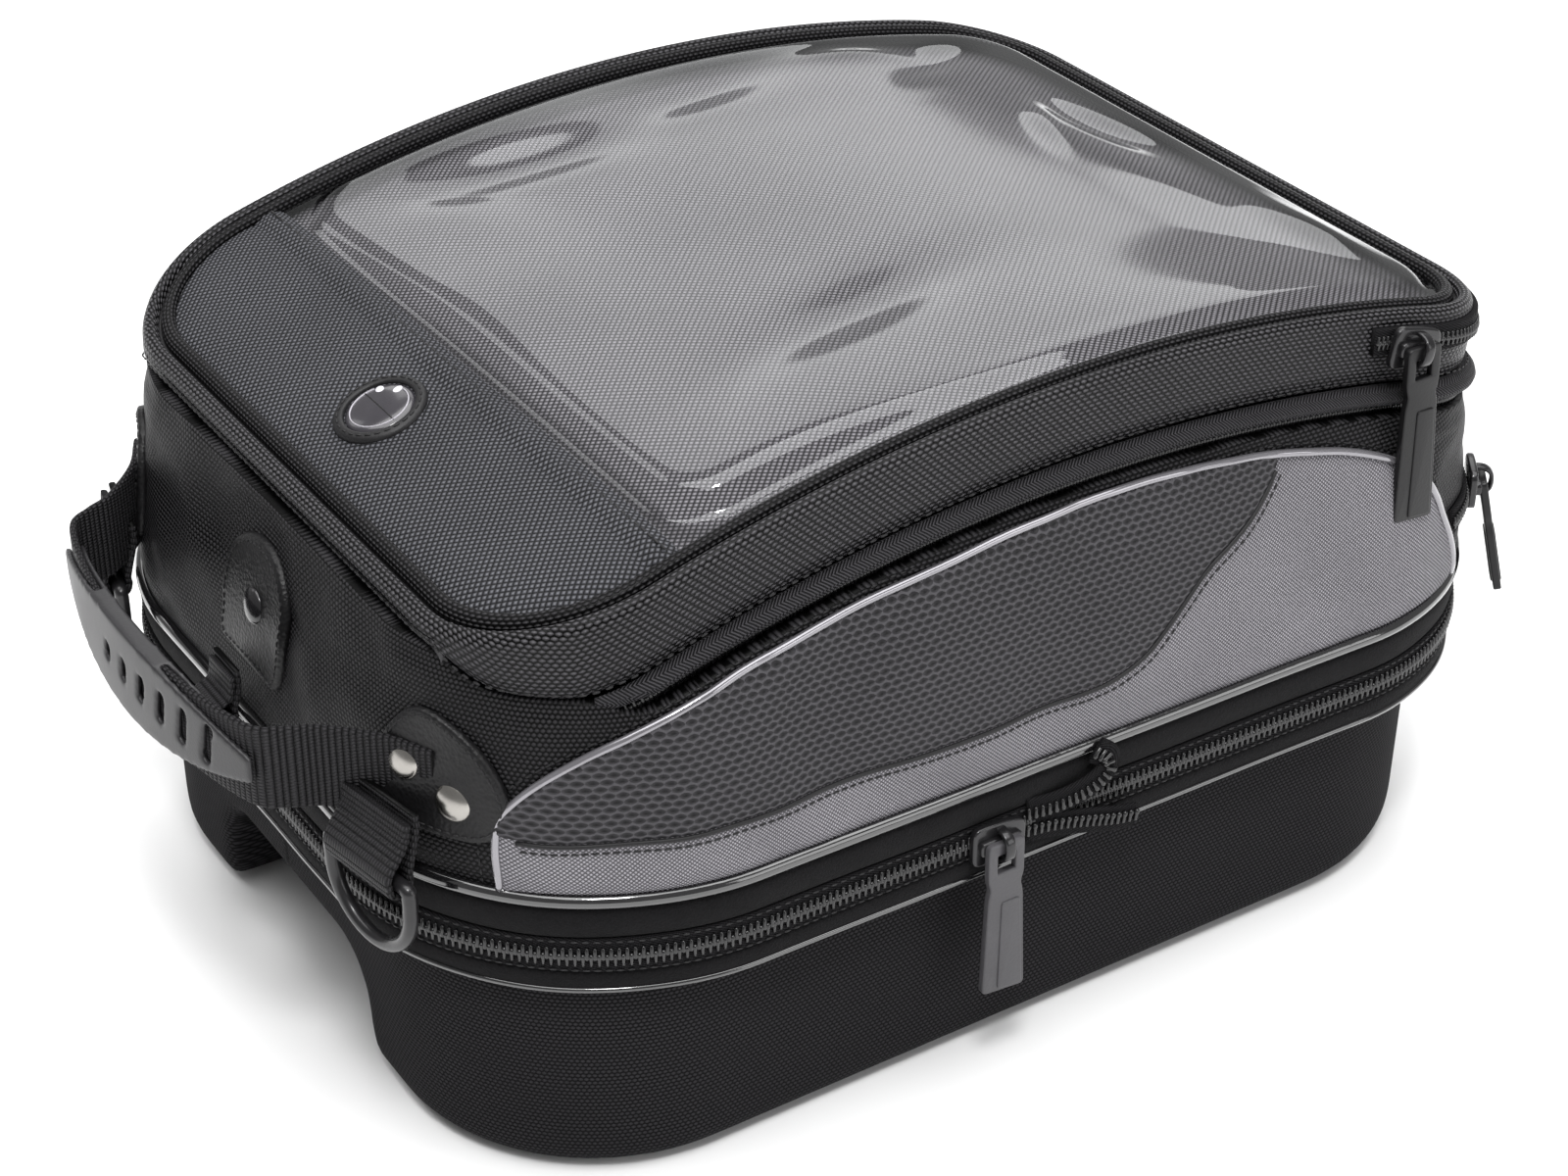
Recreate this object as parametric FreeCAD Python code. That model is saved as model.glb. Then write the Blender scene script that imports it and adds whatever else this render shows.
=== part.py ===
"""Motorcycle tank bag: moulded saddle base, zip-on upper bag, arched lid with a map window.

Millimetres. +Z is up, +X points to the rider (rear), -X to the handle (front). The origin is
under the middle of the bag at the level of the base's lowest faces. Both sides are alike,
apart from the zip sliders.
"""
import FreeCAD
import Part
import math
import os

V = FreeCAD.Vector
Z_AXIS = V(0, 0, 1)
Y_AXIS = V(0, 1, 0)

# ---- driving dimensions -------------------------------------------------------------------
# plan outlines: front x, rear x, half width, front and rear corner radius
LID = (-149.0, 171.0, 121.0, 41.0, 29.0)      # along the groove between the lid's two rolls
WALL_TOP = (-152.5, 175.0, 125.0, 50.0, 33.0)  # the upper bag's wall, at WALL_TOP_Z
WAIST = (-169.0, 192.5, 137.5, 82.0, 72.0)     # along the waist piping
BASE_TOP = (-161.0, 183.0, 131.5, 67.0, 70.0)
BASE_LOW = (-160.0, 181.5, 130.5, 63.0, 68.0)
WALL_TOP_Z = 185.0
WALL_THICK = 5.0

# the lid's arch: a cylinder across the bag that touches the top at (ARCH_X, ARCH_Z)
ARCH_X = 29.8
ARCH_Z = 199.5
ARCH_R = 482.4

# heights of the waist build-up
BASE_H = 66.0
RIM_Z = (66.3, 73.0)
RIM_WIDE = 12.5               # the rim reaches inwards over the base's wall
ZIP_LOW_Z = (73.3, 77.9)
ZIP_UP_Z = (78.3, 82.6)
BAND_Z = (82.9, 93.2)
PIPING_Z = (93.5, 96.9)
FLOOR_Z = (83.2, 86.0)

# the saddle tunnel under the base
TUNNEL_H = 36.0
TUNNEL_HALF = 46.0
TUNNEL_BEND = 18.0
LEG_EDGE = 11.0
BASE_EDGE = 9.0
BASE_THICK = 5.0

# lid build-up, as drops below the arch
LID_SIDE = 20.0
WELT_DROP = (20.4, 25.6)
ZIP2_UP_DROP = (25.8, 27.6)
ZIP2_LOW_DROP = (28.0, 29.8)
WALL_DROP = 30.1
LID_OUT = 5.4
HINGE_Z = 159.0
EAR_X = -127.0                # behind this the zip opens along the side
EAR_GAP = 0.4
SEAM_X = -97.5                # cross seam between the fabric band and the map window

# hardware
WEB_WIDE = 25.0
WEB_THICK = 2.2
PATCH_THICK = 1.8
PATCH_PROUD = 1.4             # clear of the wall's curve
PATCH_Y = 94.0
PATCH_Z = 126.5
PATCH_TURN = 26.0             # the wall turns this far at the patches, degrees
RIVET_R = 5.4
RIVET_DOME = 2.6
RIVET_SPOTS = ((10.0, 0.5), (-6.0, -7.0))   # across and up from the patch's middle
STUD_R = 5.0                  # the single rivet of the middle patch
FIT = 0.1                     # gap between pieces of one body that lie on each other
RING_Y = 86.0
RING_TURN = 10.0              # the rings hang nearly parallel to the front, degrees
RING_WIRE = 4.0
RING_HALF = 16.8              # half the D-ring's width, to the wire's centre
RING_DEEP = 24.0
RING_EYE = RING_WIRE + 1.0    # the webbing's loop round the ring's bar
RING_HANG = 17.0
RING_TOP_Z = 117.0
RING_PROUD = 4.8
RING_WEB = 28.0
FRONT_WIRE = 3.4
FRONT_BAR = V(-176.5, 0, 99.5)
FRONT_HALF = 11.0
FRONT_DEEP = 20.0
FRONT_BEND = 6.0
FRONT_WEB = 15.0
FRONT_WEB_THICK = 1.8
FRONT_HANG = 12.0
HANDLE_Z = 121.0
HANDLE_AXIS_X = -179.0
HANDLE_ARM_Y = 70.5
GRIP_HALF = 61.0
GRIP_X = (-190.0, -199.0)     # the grip's ends and its middle
GRIP_WIDE = 28.0
GRIP_SLOTS = 6
SLOT_STEP = 11.0
SLOT_WIDE = 3.2
SLOT_START = -46.0            # the slot nearest the near end, the tallest
SLOT_TALL = 13.0
SLOT_LOSS = 1.3               # each next slot is this much shorter
SLOT_TURN = 14.0

# zips, cable port and rear pocket
MAP_ZIP_X = 118.0             # the map pocket's zip starts here and goes round the rear
PORT_X = -120.5
PORT_R = 13.4
SLIDER_LONG = 16.0
SLIDER_WIDE = 11.0
SLIDER_PLATE = 3.0
EYE_UP = 2.2                  # the puller's hinge over the slider's plate
PULLER_THICK = 2.4
PULLER_WIDE = 13.0
WAIST_SLIDER = V(-14.0, -WAIST[2] - 1.8, 78.1)
MAP_SLIDER = V(131.0, -LID[2] - LID_OUT - 1.5, 181.5)
LID_SLIDER = V(-100.0, LID[2] + 11.8, 0)
LID_ZIP_DROP = 27.8
POCKET_Z = 117.0
POCKET_TURN = 52.0            # round the rear corner, degrees
POCKET_X = 153.0              # the pocket's zip starts here and goes round the rear


# ---- building blocks ----------------------------------------------------------------------
def outline(plan, z, grow=0.0):
    """Rounded rectangle in plan, its two ends with their own corner radius."""
    x0, x1, half, r_front, r_rear = plan
    x0, x1, half = x0 - grow, x1 + grow, half + grow
    rf, rr = r_front + grow, r_rear + grow
    c = math.sqrt(0.5)
    edges = [
        Part.LineSegment(V(x0 + rf, -half, z), V(x1 - rr, -half, z)),
        Part.Arc(V(x1 - rr, -half, z), V(x1 - rr + rr * c, -half + rr - rr * c, z),
                 V(x1, -half + rr, z)),
        Part.LineSegment(V(x1, -half + rr, z), V(x1, half - rr, z)),
        Part.Arc(V(x1, half - rr, z), V(x1 - rr + rr * c, half - rr + rr * c, z),
                 V(x1 - rr, half, z)),
        Part.LineSegment(V(x1 - rr, half, z), V(x0 + rf, half, z)),
        Part.Arc(V(x0 + rf, half, z), V(x0 + rf - rf * c, half - rf + rf * c, z),
                 V(x0, half - rf, z)),
        Part.LineSegment(V(x0, half - rf, z), V(x0, -half + rf, z)),
        Part.Arc(V(x0, -half + rf, z), V(x0 + rf - rf * c, -half + rf - rf * c, z),
                 V(x0 + rf, -half, z)),
    ]
    return Part.Wire([e.toShape() for e in edges])


def prism(plan, grow, z0, z1):
    """Upright solid over a plan outline."""
    return Part.Face(outline(plan, z0, grow)).extrude(V(0, 0, z1 - z0))


def ring(plan, inner, outer, z0, z1):
    """Upright band that follows a plan outline."""
    return prism(plan, outer, z0, z1).cut(prism(plan, inner, z0 - 1, z1 + 1))


def loft(low, high, z0, z1, grow=0.0):
    """Tapered solid from one plan outline to another."""
    return Part.makeLoft([outline(low, z0, grow), outline(high, z1, grow)], True, True)


def arch(rise, half=200.0):
    """The cylinder that the lid's top follows, raised by rise."""
    r = ARCH_R + rise
    return Part.makeCylinder(r, 2 * half, V(ARCH_X, -half, ARCH_Z - ARCH_R), Y_AXIS)


def lid_layer(inner, outer, low, high):
    """Part of the lid between two plan outlines and two arches; inner None fills the middle."""
    body = prism(LID, outer, 100.0, 230.0)
    if inner is not None:
        body = body.cut(prism(LID, inner, 99.0, 231.0))
    return body.common(arch(high)).cut(arch(low))


def side_face(points, y0, y1):
    """Solid over a polygon drawn in side view (x, z), from y0 to y1."""
    ring_points = [V(x, y0, z) for x, z in points]
    wire = Part.makePolygon(ring_points + ring_points[:1])
    return Part.Face(wire).extrude(V(0, y1 - y0, 0))


def box(x0, x1, y0, y1, z0, z1):
    return Part.makeBox(x1 - x0, y1 - y0, z1 - z0, V(x0, y0, z0))


def rod(start, end, radius):
    """Round bar between two points."""
    return Part.makeCylinder(radius, (end - start).Length, start, end - start)


def swept(edges, radius, start, direction):
    """Round wire that follows edges."""
    section = Part.Wire(Part.makeCircle(radius, start, direction))
    return Part.Wire(edges).makePipeShell([section], True, False)


def mirrored(shape):
    """The same piece on the far side."""
    return shape.mirror(V(0, 0, 0), Y_AXIS)


def wall_x(z, front=True):
    """x of the upper bag's front or rear wall at height z."""
    t = (z - PIPING_Z[1]) / (WALL_TOP_Z - PIPING_Z[1])
    i = 0 if front else 1
    return WAIST[i] + (WALL_TOP[i] - WAIST[i]) * t


def wall_y(z):
    """y of the upper bag's far side wall at height z."""
    t = (z - PIPING_Z[1]) / (WALL_TOP_Z - PIPING_Z[1])
    return WAIST[2] + (WALL_TOP[2] - WAIST[2]) * t


def arch_z(x):
    """Height of the lid's arch at x."""
    return ARCH_Z - ARCH_R + math.sqrt(ARCH_R ** 2 - (x - ARCH_X) ** 2)


nodes = {}


def keep(name, shape):
    nodes[name] = shape


# ---- base ---------------------------------------------------------------------------------
def tunnel(grow, reach=230.0):
    """The saddle tunnel along x, flared at the legs' lower edges; grow widens it all round."""
    h = TUNNEL_H + grow
    w = TUNNEL_HALF + grow
    bend = TUNNEL_BEND + grow
    lip = LEG_EDGE - grow
    centre_y = TUNNEL_HALF + LEG_EDGE
    c = math.sqrt(0.5)

    def p(y, z):
        return V(-reach, y, z)

    def half(s):
        """One side's edges, from the ceiling out to below the floor."""
        return [
            Part.LineSegment(p(0, h), p(s * (w - bend), h)),
            Part.Arc(p(s * (w - bend), h), p(s * (w - bend + bend * c), h - bend + bend * c),
                     p(s * w, h - bend)),
            Part.LineSegment(p(s * w, h - bend), p(s * w, LEG_EDGE)),
            Part.Arc(p(s * w, LEG_EDGE), p(s * (centre_y - lip * c), LEG_EDGE - lip * c),
                     p(s * centre_y, LEG_EDGE - lip)),
            Part.LineSegment(p(s * centre_y, LEG_EDGE - lip), p(s * centre_y, -8)),
        ]

    floor_line = Part.LineSegment(p(centre_y, -8), p(-centre_y, -8))
    edges = half(1) + [floor_line] + half(-1)
    wire = Part.Wire(Part.__sortEdges__([e.toShape() for e in edges]))
    return Part.Face(wire).extrude(V(2 * reach, 0, 0))


def tub(grow, z0, z1, edge):
    """Tapered block with its lower edges rounded, before the tunnel is taken out."""
    body = loft(BASE_LOW, BASE_TOP, z0, z1, grow)
    lower = [e for e in body.Edges if e.BoundBox.ZMax < z0 + 0.01]
    return body.makeFillet(edge, lower)


def make_base():
    outer = tub(0, 0, BASE_H, BASE_EDGE).cut(tunnel(0))
    inner = tub(-BASE_THICK, BASE_THICK, BASE_H + 0.01, BASE_EDGE - BASE_THICK).cut(tunnel(BASE_THICK))
    keep("base_shell", outer.cut(inner))
    mat = tunnel(-0.3).cut(tunnel(-1.8)).common(box(-140, 160, -40, 40, 20, 40))
    keep("tunnel_mat", mat)
    keep("base_rim", ring(WAIST, -RIM_WIDE, 0.6, *RIM_Z))
    keep("waist_zip_lower", ring(WAIST, -3.0, 1.8, *ZIP_LOW_Z))
    keep("zip_tail_lower", box(2, 27, -142.0, -139.9, 66.5, 73.0))


# ---- upper bag ----------------------------------------------------------------------------
def upper_walls():
    """The walls of the upper bag, open at the top, up to the lid's parting line."""
    outer = loft(WAIST, WALL_TOP, PIPING_Z[1] + 0.2, WALL_TOP_Z)
    inner = loft(WAIST, WALL_TOP, PIPING_Z[1] + 0.2, WALL_TOP_Z + 0.01, -WALL_THICK)
    shell = outer.cut(inner)
    side = arch(-WALL_DROP).common(box(EAR_X, 260, -200, 200, 80, 230))
    front = side_face([(-200, 80), (-200, HINGE_Z - EAR_GAP), (-149, HINGE_Z - EAR_GAP),
                       (-131, 150.2), (EAR_X, 149.5), (EAR_X, 80)], -200, 200)
    return shell.common(side.fuse(front))


def side_outline(grow=0.0):
    """Side view of the piped side panel: a long low arch over a straight lower edge."""
    points = [(-147.5, 97.1), (-144.0, 121.5), (-122.0, 141.0), (-70.0, 157.0), (24.0, 167.2),
              (90.0, 160.5), (129.5, 146.0), (148.0, 121.5), (159.0, 97.1)]
    middle = V(10.0, 0, 125.0)
    moved = []
    for x, z in points:
        away = V(x, 0, z).sub(middle)
        moved.append(middle.add(away.multiply(1 + grow / away.Length)))
    curve = Part.BSplineCurve()
    curve.interpolate(moved)
    low = 90.0
    first, last = moved[0], moved[-1]
    return Part.Wire([
        curve.toShape(),
        Part.makeLine(last, V(last.x, 0, low)),
        Part.makeLine(V(last.x, 0, low), V(first.x, 0, low)),
        Part.makeLine(V(first.x, 0, low), first),
    ])


def side_prism(grow, y0, y1):
    """The side panel's outline, run across the near side wall."""
    face = Part.Face(side_outline(grow))
    return face.extrude(V(0, y1 - y0, 0)).translate(V(0, y0, 0))


def insert_prism():
    """The dark insert fills the panel in front of and above an S-shaped edge."""
    a = V(-160, -200, 113.0)
    b = V(18, -200, 113.6)
    c = V(36, -200, 119.0)
    d = V(47, -200, 129.5)
    e = V(74, -200, 149.0)
    f = V(87, -200, 175.0)
    back = Part.Arc(d, V(60, -200, 140.5), e)
    wire = Part.Wire([
        Part.makeLine(a, b),
        Part.Arc(b, V(28, -200, 115.3), c).toShape(),
        Part.makeLine(c, d),
        back.toShape(),
        Part.makeLine(e, f),
        Part.makeLine(f, V(-160, -200, 175.0)),
        Part.makeLine(V(-160, -200, 175.0), a),
    ])
    return Part.Face(wire).extrude(V(0, 120, 0))


def make_upper_walls():
    walls = upper_walls()
    whole = side_prism(0, -200, -60)
    panel = walls.common(whole)
    insert = panel.common(insert_prism())
    keep("near_side_panel", panel.cut(insert_prism()))
    keep("near_side_insert", insert)
    keep("far_side_panel", mirrored(nodes["near_side_panel"]))
    keep("far_side_insert", mirrored(insert))
    rest = walls.cut(whole).cut(mirrored(whole))
    split_x = 24.0
    keep("front_panel", rest.common(box(-200, split_x, -200, 200, 80, 230)))
    keep("rear_panel", rest.common(box(split_x, 260, -200, 200, 80, 230)))
    proud = loft(WAIST, WALL_TOP, PIPING_Z[1] + 0.4, WALL_TOP_Z, 2.4)
    skin = proud.cut(loft(WAIST, WALL_TOP, PIPING_Z[1] + 0.4, WALL_TOP_Z + 0.01, 0.1))
    edge = skin.common(side_prism(1.4, -200, -60).cut(side_prism(-1.4, -201, -59)))
    edge = edge.common(arch(-WALL_DROP)).common(box(-150, 170, -200, -60, 97, 180))
    keep("near_side_piping", edge)
    keep("far_side_piping", mirrored(edge))


def make_waist():
    keep("waist_zip_upper", ring(WAIST, -3.0, 1.8, *ZIP_UP_Z))
    keep("waist_band", ring(WAIST, -5.0, 0.8, *BAND_Z))
    keep("waist_piping", ring(WAIST, -1.5, 2.0, *PIPING_Z))
    keep("zip_tail_upper", box(2, 27, -141.6, -139.6, 83.2, 92.0))
    floor = prism(WAIST, -5.4, *FLOOR_Z)
    keep("bag_floor", floor)


def make_lid_zip_lower():
    """The bag's half of the lid zip runs round both sides and the rear, under the lid."""
    row = lid_layer(0.5, 4.5, -ZIP2_LOW_DROP[1], -ZIP2_LOW_DROP[0])
    keep("lid_zip_lower", row.common(box(EAR_X + 2, 260, -200, 200, 80, 230)))


def patch_face(wire):
    """Flat leather piece over a wire in the y-z plane; its face looks towards -x."""
    return Part.Face(wire).extrude(V(-PATCH_THICK, 0, 0))


def oval_patch():
    """Leather patch: an egg with one flatter side, in its own y-z plane."""
    corners = [V(0, -20.0, -6.0), V(0, 6.0, 17.0), V(0, 19.5, -4.0), V(0, 2.0, -17.5)]
    between = [V(0, -10.0, 10.5), V(0, 15.5, 11.0), V(0, 15.5, -13.5), V(0, -14.0, -15.0)]
    ends = corners[1:] + corners[:1]
    arcs = [Part.Arc(a, m, b).toShape() for a, m, b in zip(corners, between, ends)]
    wire = Part.Wire(arcs)
    return patch_face(wire)


def shield_patch():
    """Leather patch for the front ring: a rounded top over a straight lower edge."""
    half, top, low = 19.0, 20.0, -16.0
    wire = Part.Wire([
        Part.Arc(V(0, -half, -4), V(0, 0, top), V(0, half, -4)).toShape(),
        Part.makeLine(V(0, half, -4), V(0, 13, low)),
        Part.makeLine(V(0, 13, low), V(0, -13, low)),
        Part.makeLine(V(0, -13, low), V(0, -half, -4)),
    ])
    return patch_face(wire)


def rivet(radius, proud):
    """Domed rivet head, its flat back in the y-z plane, facing -x."""
    ball_r = (radius ** 2 + proud ** 2) / (2 * proud)
    ball = Part.makeSphere(ball_r, V(ball_r - proud, 0, 0))
    return ball.common(box(-proud - 1, 0, -radius, radius, -radius, radius))


def at_front(shape, y, z, proud, turn=0.0):
    """Moves a piece made facing -x onto the front wall; turn follows the wall round a corner."""
    piece = shape.copy()
    if turn:
        piece.rotate(V(0, 0, 0), Z_AXIS, turn)
    lean = math.degrees(math.atan2(WALL_TOP[0] - WAIST[0], WALL_TOP_Z - PIPING_Z[1]))
    piece.rotate(V(0, 0, 0), Y_AXIS, lean)
    piece.translate(V(front_surface(y, z) - proud, y, z))
    return piece


def front_surface(y, z):
    """x of the front wall at y, z, with the corner's curve."""
    t = (z - PIPING_Z[1]) / (WALL_TOP_Z - PIPING_Z[1])
    radius = WAIST[3] + (WALL_TOP[3] - WAIST[3]) * t
    start = wall_y(z) - radius
    over = max(0.0, abs(y) - start)
    return wall_x(z) + radius - math.sqrt(radius ** 2 - over ** 2)


def webbing_loop(wide, hang, eye, thick):
    """Webbing that drops from a patch, goes round a ring's bar and back up, facing -x."""
    outer = box(-2 * thick - eye, 0, -wide / 2, wide / 2, -hang, 0)
    bar = Part.makeCylinder(eye / 2 + thick, wide, V(-eye / 2 - thick, -wide / 2, -hang), Y_AXIS)
    eye_hole = Part.makeCylinder(eye / 2, wide + 2, V(-eye / 2 - thick, -wide / 2 - 1, -hang), Y_AXIS)
    slit = box(-thick - eye, -thick, -wide / 2 - 1, wide / 2 + 1, -hang, -hang + 4)
    return outer.fuse(bar).cut(eye_hole).cut(slit)


def ring_bar_place():
    """The near D-ring's bar: its middle."""
    x = front_surface(RING_Y, 96.0) - RING_PROUD - WEB_THICK - RING_EYE / 2
    return V(x, -RING_Y, RING_TOP_Z - RING_HANG)


def make_front_hardware():
    near = at_front(oval_patch(), -PATCH_Y, PATCH_Z, PATCH_PROUD, PATCH_TURN)
    keep("near_patch", near)
    keep("far_patch", mirrored(near))
    keep("centre_patch", at_front(shield_patch(), 0, PATCH_Z, PATCH_PROUD))
    pair = []
    for across, up in RIVET_SPOTS:
        head = rivet(RIVET_R, RIVET_DOME)
        head.translate(V(-PATCH_THICK - FIT, across, up))
        pair.append(at_front(head, -PATCH_Y, PATCH_Z, PATCH_PROUD, PATCH_TURN))
    keep("patch_rivets", Part.makeCompound(pair + [mirrored(r) for r in pair]))
    stud = rivet(STUD_R, RIVET_DOME)
    stud.translate(V(-PATCH_THICK - FIT, 0, 2.0))
    keep("centre_rivet", at_front(stud, 0, PATCH_Z, PATCH_PROUD))
    bar = ring_bar_place()
    loop = webbing_loop(RING_WEB, RING_HANG, RING_EYE, WEB_THICK)
    loop.rotate(V(0, 0, 0), Z_AXIS, RING_TURN)
    turn = math.radians(RING_TURN)
    back = WEB_THICK + RING_EYE / 2
    loop.translate(V(bar.x + back * math.cos(turn), bar.y + back * math.sin(turn), RING_TOP_Z))
    keep("near_ring_webbing", loop)
    keep("far_ring_webbing", mirrored(loop))
    front_eye = FRONT_WIRE + 1.0
    small = webbing_loop(FRONT_WEB, FRONT_HANG, front_eye, FRONT_WEB_THICK)
    small.translate(V(FRONT_BAR.x + FRONT_WEB_THICK + front_eye / 2, 0, FRONT_BAR.z + FRONT_HANG))
    keep("centre_ring_webbing", small)


def d_ring():
    """The near D-ring, hanging straight down from its bar, before it is turned to the wall."""
    h = RING_HALF
    drop = RING_DEEP - h
    arc = Part.Arc(V(0, -h, -drop), V(0, 0, -RING_DEEP), V(0, h, -drop)).toShape()
    legs = [Part.makeLine(V(0, -h, 0), V(0, -h, -drop)), arc, Part.makeLine(V(0, h, -drop), V(0, h, 0))]
    bow = swept(legs, RING_WIRE / 2, V(0, -h, 0), Z_AXIS)
    bar = rod(V(0, -h, 0), V(0, h, 0), RING_WIRE / 2)
    ends = [Part.makeSphere(RING_WIRE / 2, V(0, s * h, 0)) for s in (-1, 1)]
    return bow.fuse([bar] + ends)


def make_rings():
    bar = ring_bar_place()
    near = d_ring()
    near.rotate(V(0, 0, 0), Z_AXIS, RING_TURN)
    near.translate(bar)
    keep("near_ring", near)
    keep("far_ring", mirrored(near))
    half, deep, bend = FRONT_HALF, FRONT_DEEP, FRONT_BEND
    c = math.sqrt(0.5)

    def p(y, z):
        return V(0, y, z)

    path = [
        Part.makeLine(p(-half, 0), p(-half, bend - deep)),
        Part.Arc(p(-half, bend - deep), p(-half + bend - bend * c, bend - deep - bend * c),
                 p(-half + bend, -deep)).toShape(),
        Part.makeLine(p(-half + bend, -deep), p(half - bend, -deep)),
        Part.Arc(p(half - bend, -deep), p(half - bend + bend * c, bend - deep - bend * c),
                 p(half, bend - deep)).toShape(),
        Part.makeLine(p(half, bend - deep), p(half, 0)),
    ]
    loop = swept(path, FRONT_WIRE / 2, p(-half, 0), Z_AXIS)
    bar_piece = rod(p(-half, 0), p(half, 0), FRONT_WIRE / 2)
    balls = [Part.makeSphere(FRONT_WIRE / 2, p(s * half, 0)) for s in (-1, 1)]
    ring_piece = loop.fuse([bar_piece] + balls)
    ring_piece.translate(FRONT_BAR)
    keep("front_ring", ring_piece)


# ---- carrying handle ----------------------------------------------------------------------
def grip_radius():
    rise = GRIP_X[0] - GRIP_X[1]
    return (GRIP_HALF ** 2 + rise ** 2) / (2 * rise)


def grip_band(inset, outset):
    """Plan of a strip that follows the grip's curve, as a closed wire at z 0."""
    r = grip_radius()
    centre_x = GRIP_X[1] + r

    def arc(radius):
        reach = math.asin(GRIP_HALF / r)
        return Part.Arc(V(centre_x - radius * math.cos(reach), -radius * math.sin(reach), 0),
                        V(centre_x - radius, 0, 0),
                        V(centre_x - radius * math.cos(reach), radius * math.sin(reach), 0))

    outer, inner = arc(r + outset), arc(r - inset)
    return Part.Wire([outer.toShape(), Part.makeLine(outer.EndPoint, inner.EndPoint),
                      inner.toShape(), Part.makeLine(inner.StartPoint, outer.StartPoint)])


def make_handle():
    half_web = WEB_WIDE / 2
    strip = Part.Face(grip_band(WEB_THICK / 2, WEB_THICK / 2)).extrude(V(0, 0, WEB_WIDE))
    strip.translate(V(0, 0, HANDLE_Z - half_web))
    root_x = HANDLE_AXIS_X + half_web
    arm_wire = Part.makePolygon([V(root_x, -HANDLE_ARM_Y, 0), V(HANDLE_AXIS_X, -HANDLE_ARM_Y, 0),
                                 V(GRIP_X[0] + 1.0, -GRIP_HALF - 1.6, 0),
                                 V(GRIP_X[0] - 1.2, -GRIP_HALF + 1.0, 0),
                                 V(GRIP_X[0] + 1.2, -GRIP_HALF + 1.0, 0),
                                 V(HANDLE_AXIS_X, -HANDLE_ARM_Y + WEB_THICK, 0),
                                 V(root_x, -HANDLE_ARM_Y + WEB_THICK, 0), V(root_x, -HANDLE_ARM_Y, 0)])
    arm = Part.Face(arm_wire).extrude(V(0, 0, WEB_WIDE))
    arm.translate(V(0, 0, HANDLE_Z - half_web))
    # the root is rounded about the swing axis, so that it turns clear of the wall
    turning = Part.makeCylinder(half_web, 200, V(HANDLE_AXIS_X, -100, HANDLE_Z), Y_AXIS)
    arm = arm.common(turning.fuse(box(-230, HANDLE_AXIS_X, -100, 100, 90, 150)))
    webbing = strip.fuse([arm, mirrored(arm)]).removeSplitter()
    keep("handle_webbing", webbing)
    block = Part.Face(grip_band(2.6, 3.0)).extrude(V(0, 0, GRIP_WIDE + 10))
    block.translate(V(0, 0, HANDLE_Z - GRIP_WIDE / 2 - 5))
    top = GRIP_WIDE / 2
    leaf_r = (GRIP_HALF ** 2 + (top * 0.72) ** 2) / (2 * top * 0.72)
    up = Part.makeCylinder(leaf_r, 60, V(-230, 0, HANDLE_Z + top - leaf_r), V(1, 0, 0))
    down = Part.makeCylinder(leaf_r, 60, V(-230, 0, HANDLE_Z - top + leaf_r), V(1, 0, 0))
    leaf = block.common(up).common(down)
    for i in range(GRIP_SLOTS):
        y = SLOT_START + i * SLOT_STEP
        tall = SLOT_TALL - i * SLOT_LOSS
        slot = box(-215, GRIP_X[1] + 4.5, y, y + SLOT_WIDE, HANDLE_Z - tall / 2, HANDLE_Z + tall / 2)
        slot.rotate(V(0, y, HANDLE_Z), V(1, 0, 0), SLOT_TURN)
        leaf = leaf.cut(slot)
    keep("handle_grip", leaf.cut(webbing))


# ---- lid ----------------------------------------------------------------------------------
def make_lid():
    side = lid_layer(0.4, LID_OUT, -LID_SIDE, 0.6)
    keep("lid_wall", side.cut(front_block()))
    keep("outer_roll", lid_layer(0.8, LID_OUT + 0.2, 0.8, 3.4))
    keep("inner_roll", lid_layer(-5.8, 0.0, -1.5, 3.6))
    inside = lid_layer(None, -6.0, -5.6, 0.4)
    keep("front_band", inside.common(box(-200, SEAM_X, -200, 200, 100, 230)).cut(port_hole()))
    window = lid_layer(None, -6.0, 1.6, 3.0)
    keep("map_window", window.common(box(SEAM_X - 8, 260, -200, 200, 100, 230)))
    sheet = lid_layer(None, -1.0, -7.4, -5.9)
    keep("pocket_floor", sheet.common(box(SEAM_X + 0.4, 260, -200, 200, 100, 230)))
    keep("lid_foam", lid_layer(None, -0.5, -17.2, -7.8).cut(port_hole()).cut(front_block()))
    keep("lid_lining", lid_layer(None, 0.0, -19.0, -17.5).cut(front_block()))
    welt = lid_layer(0.4, 8.4, -WELT_DROP[1], -WELT_DROP[0])
    zip_row = lid_layer(0.5, 4.5, -ZIP2_UP_DROP[1], -ZIP2_UP_DROP[0])
    behind = box(EAR_X + 2, 260, -200, 200, 80, 230)
    keep("lid_welt", welt.common(behind))
    keep("lid_zip_upper", zip_row.common(behind))
    coil = lid_layer(LID_OUT + 0.1, LID_OUT + 1.5, -9.4, -1.6)
    near_end = box(MAP_ZIP_X, 260, -200, 200, 100, 230)
    keep("map_zip", coil.common(near_end))


def front_block():
    """The lid is thinner at its front edge, over the hinge."""
    return side_face([(-200, 100), (-200, HINGE_Z + 0.3), (-149, HINGE_Z + 0.3), (-131, 152.3),
                      (-128, 146), (-128, 100)], -200, 200)


def port_lean():
    """Slope of the arch at the cable port, degrees."""
    return math.degrees(math.asin((PORT_X - ARCH_X) / ARCH_R))


def port_cylinder(radius, low, high):
    """Disc set square to the arch at the cable port."""
    disc = Part.makeCylinder(radius, high - low, V(0, 0, low))
    disc.rotate(V(0, 0, 0), Y_AXIS, port_lean())
    disc.translate(V(PORT_X, 0, arch_z(PORT_X)))
    return disc


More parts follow.
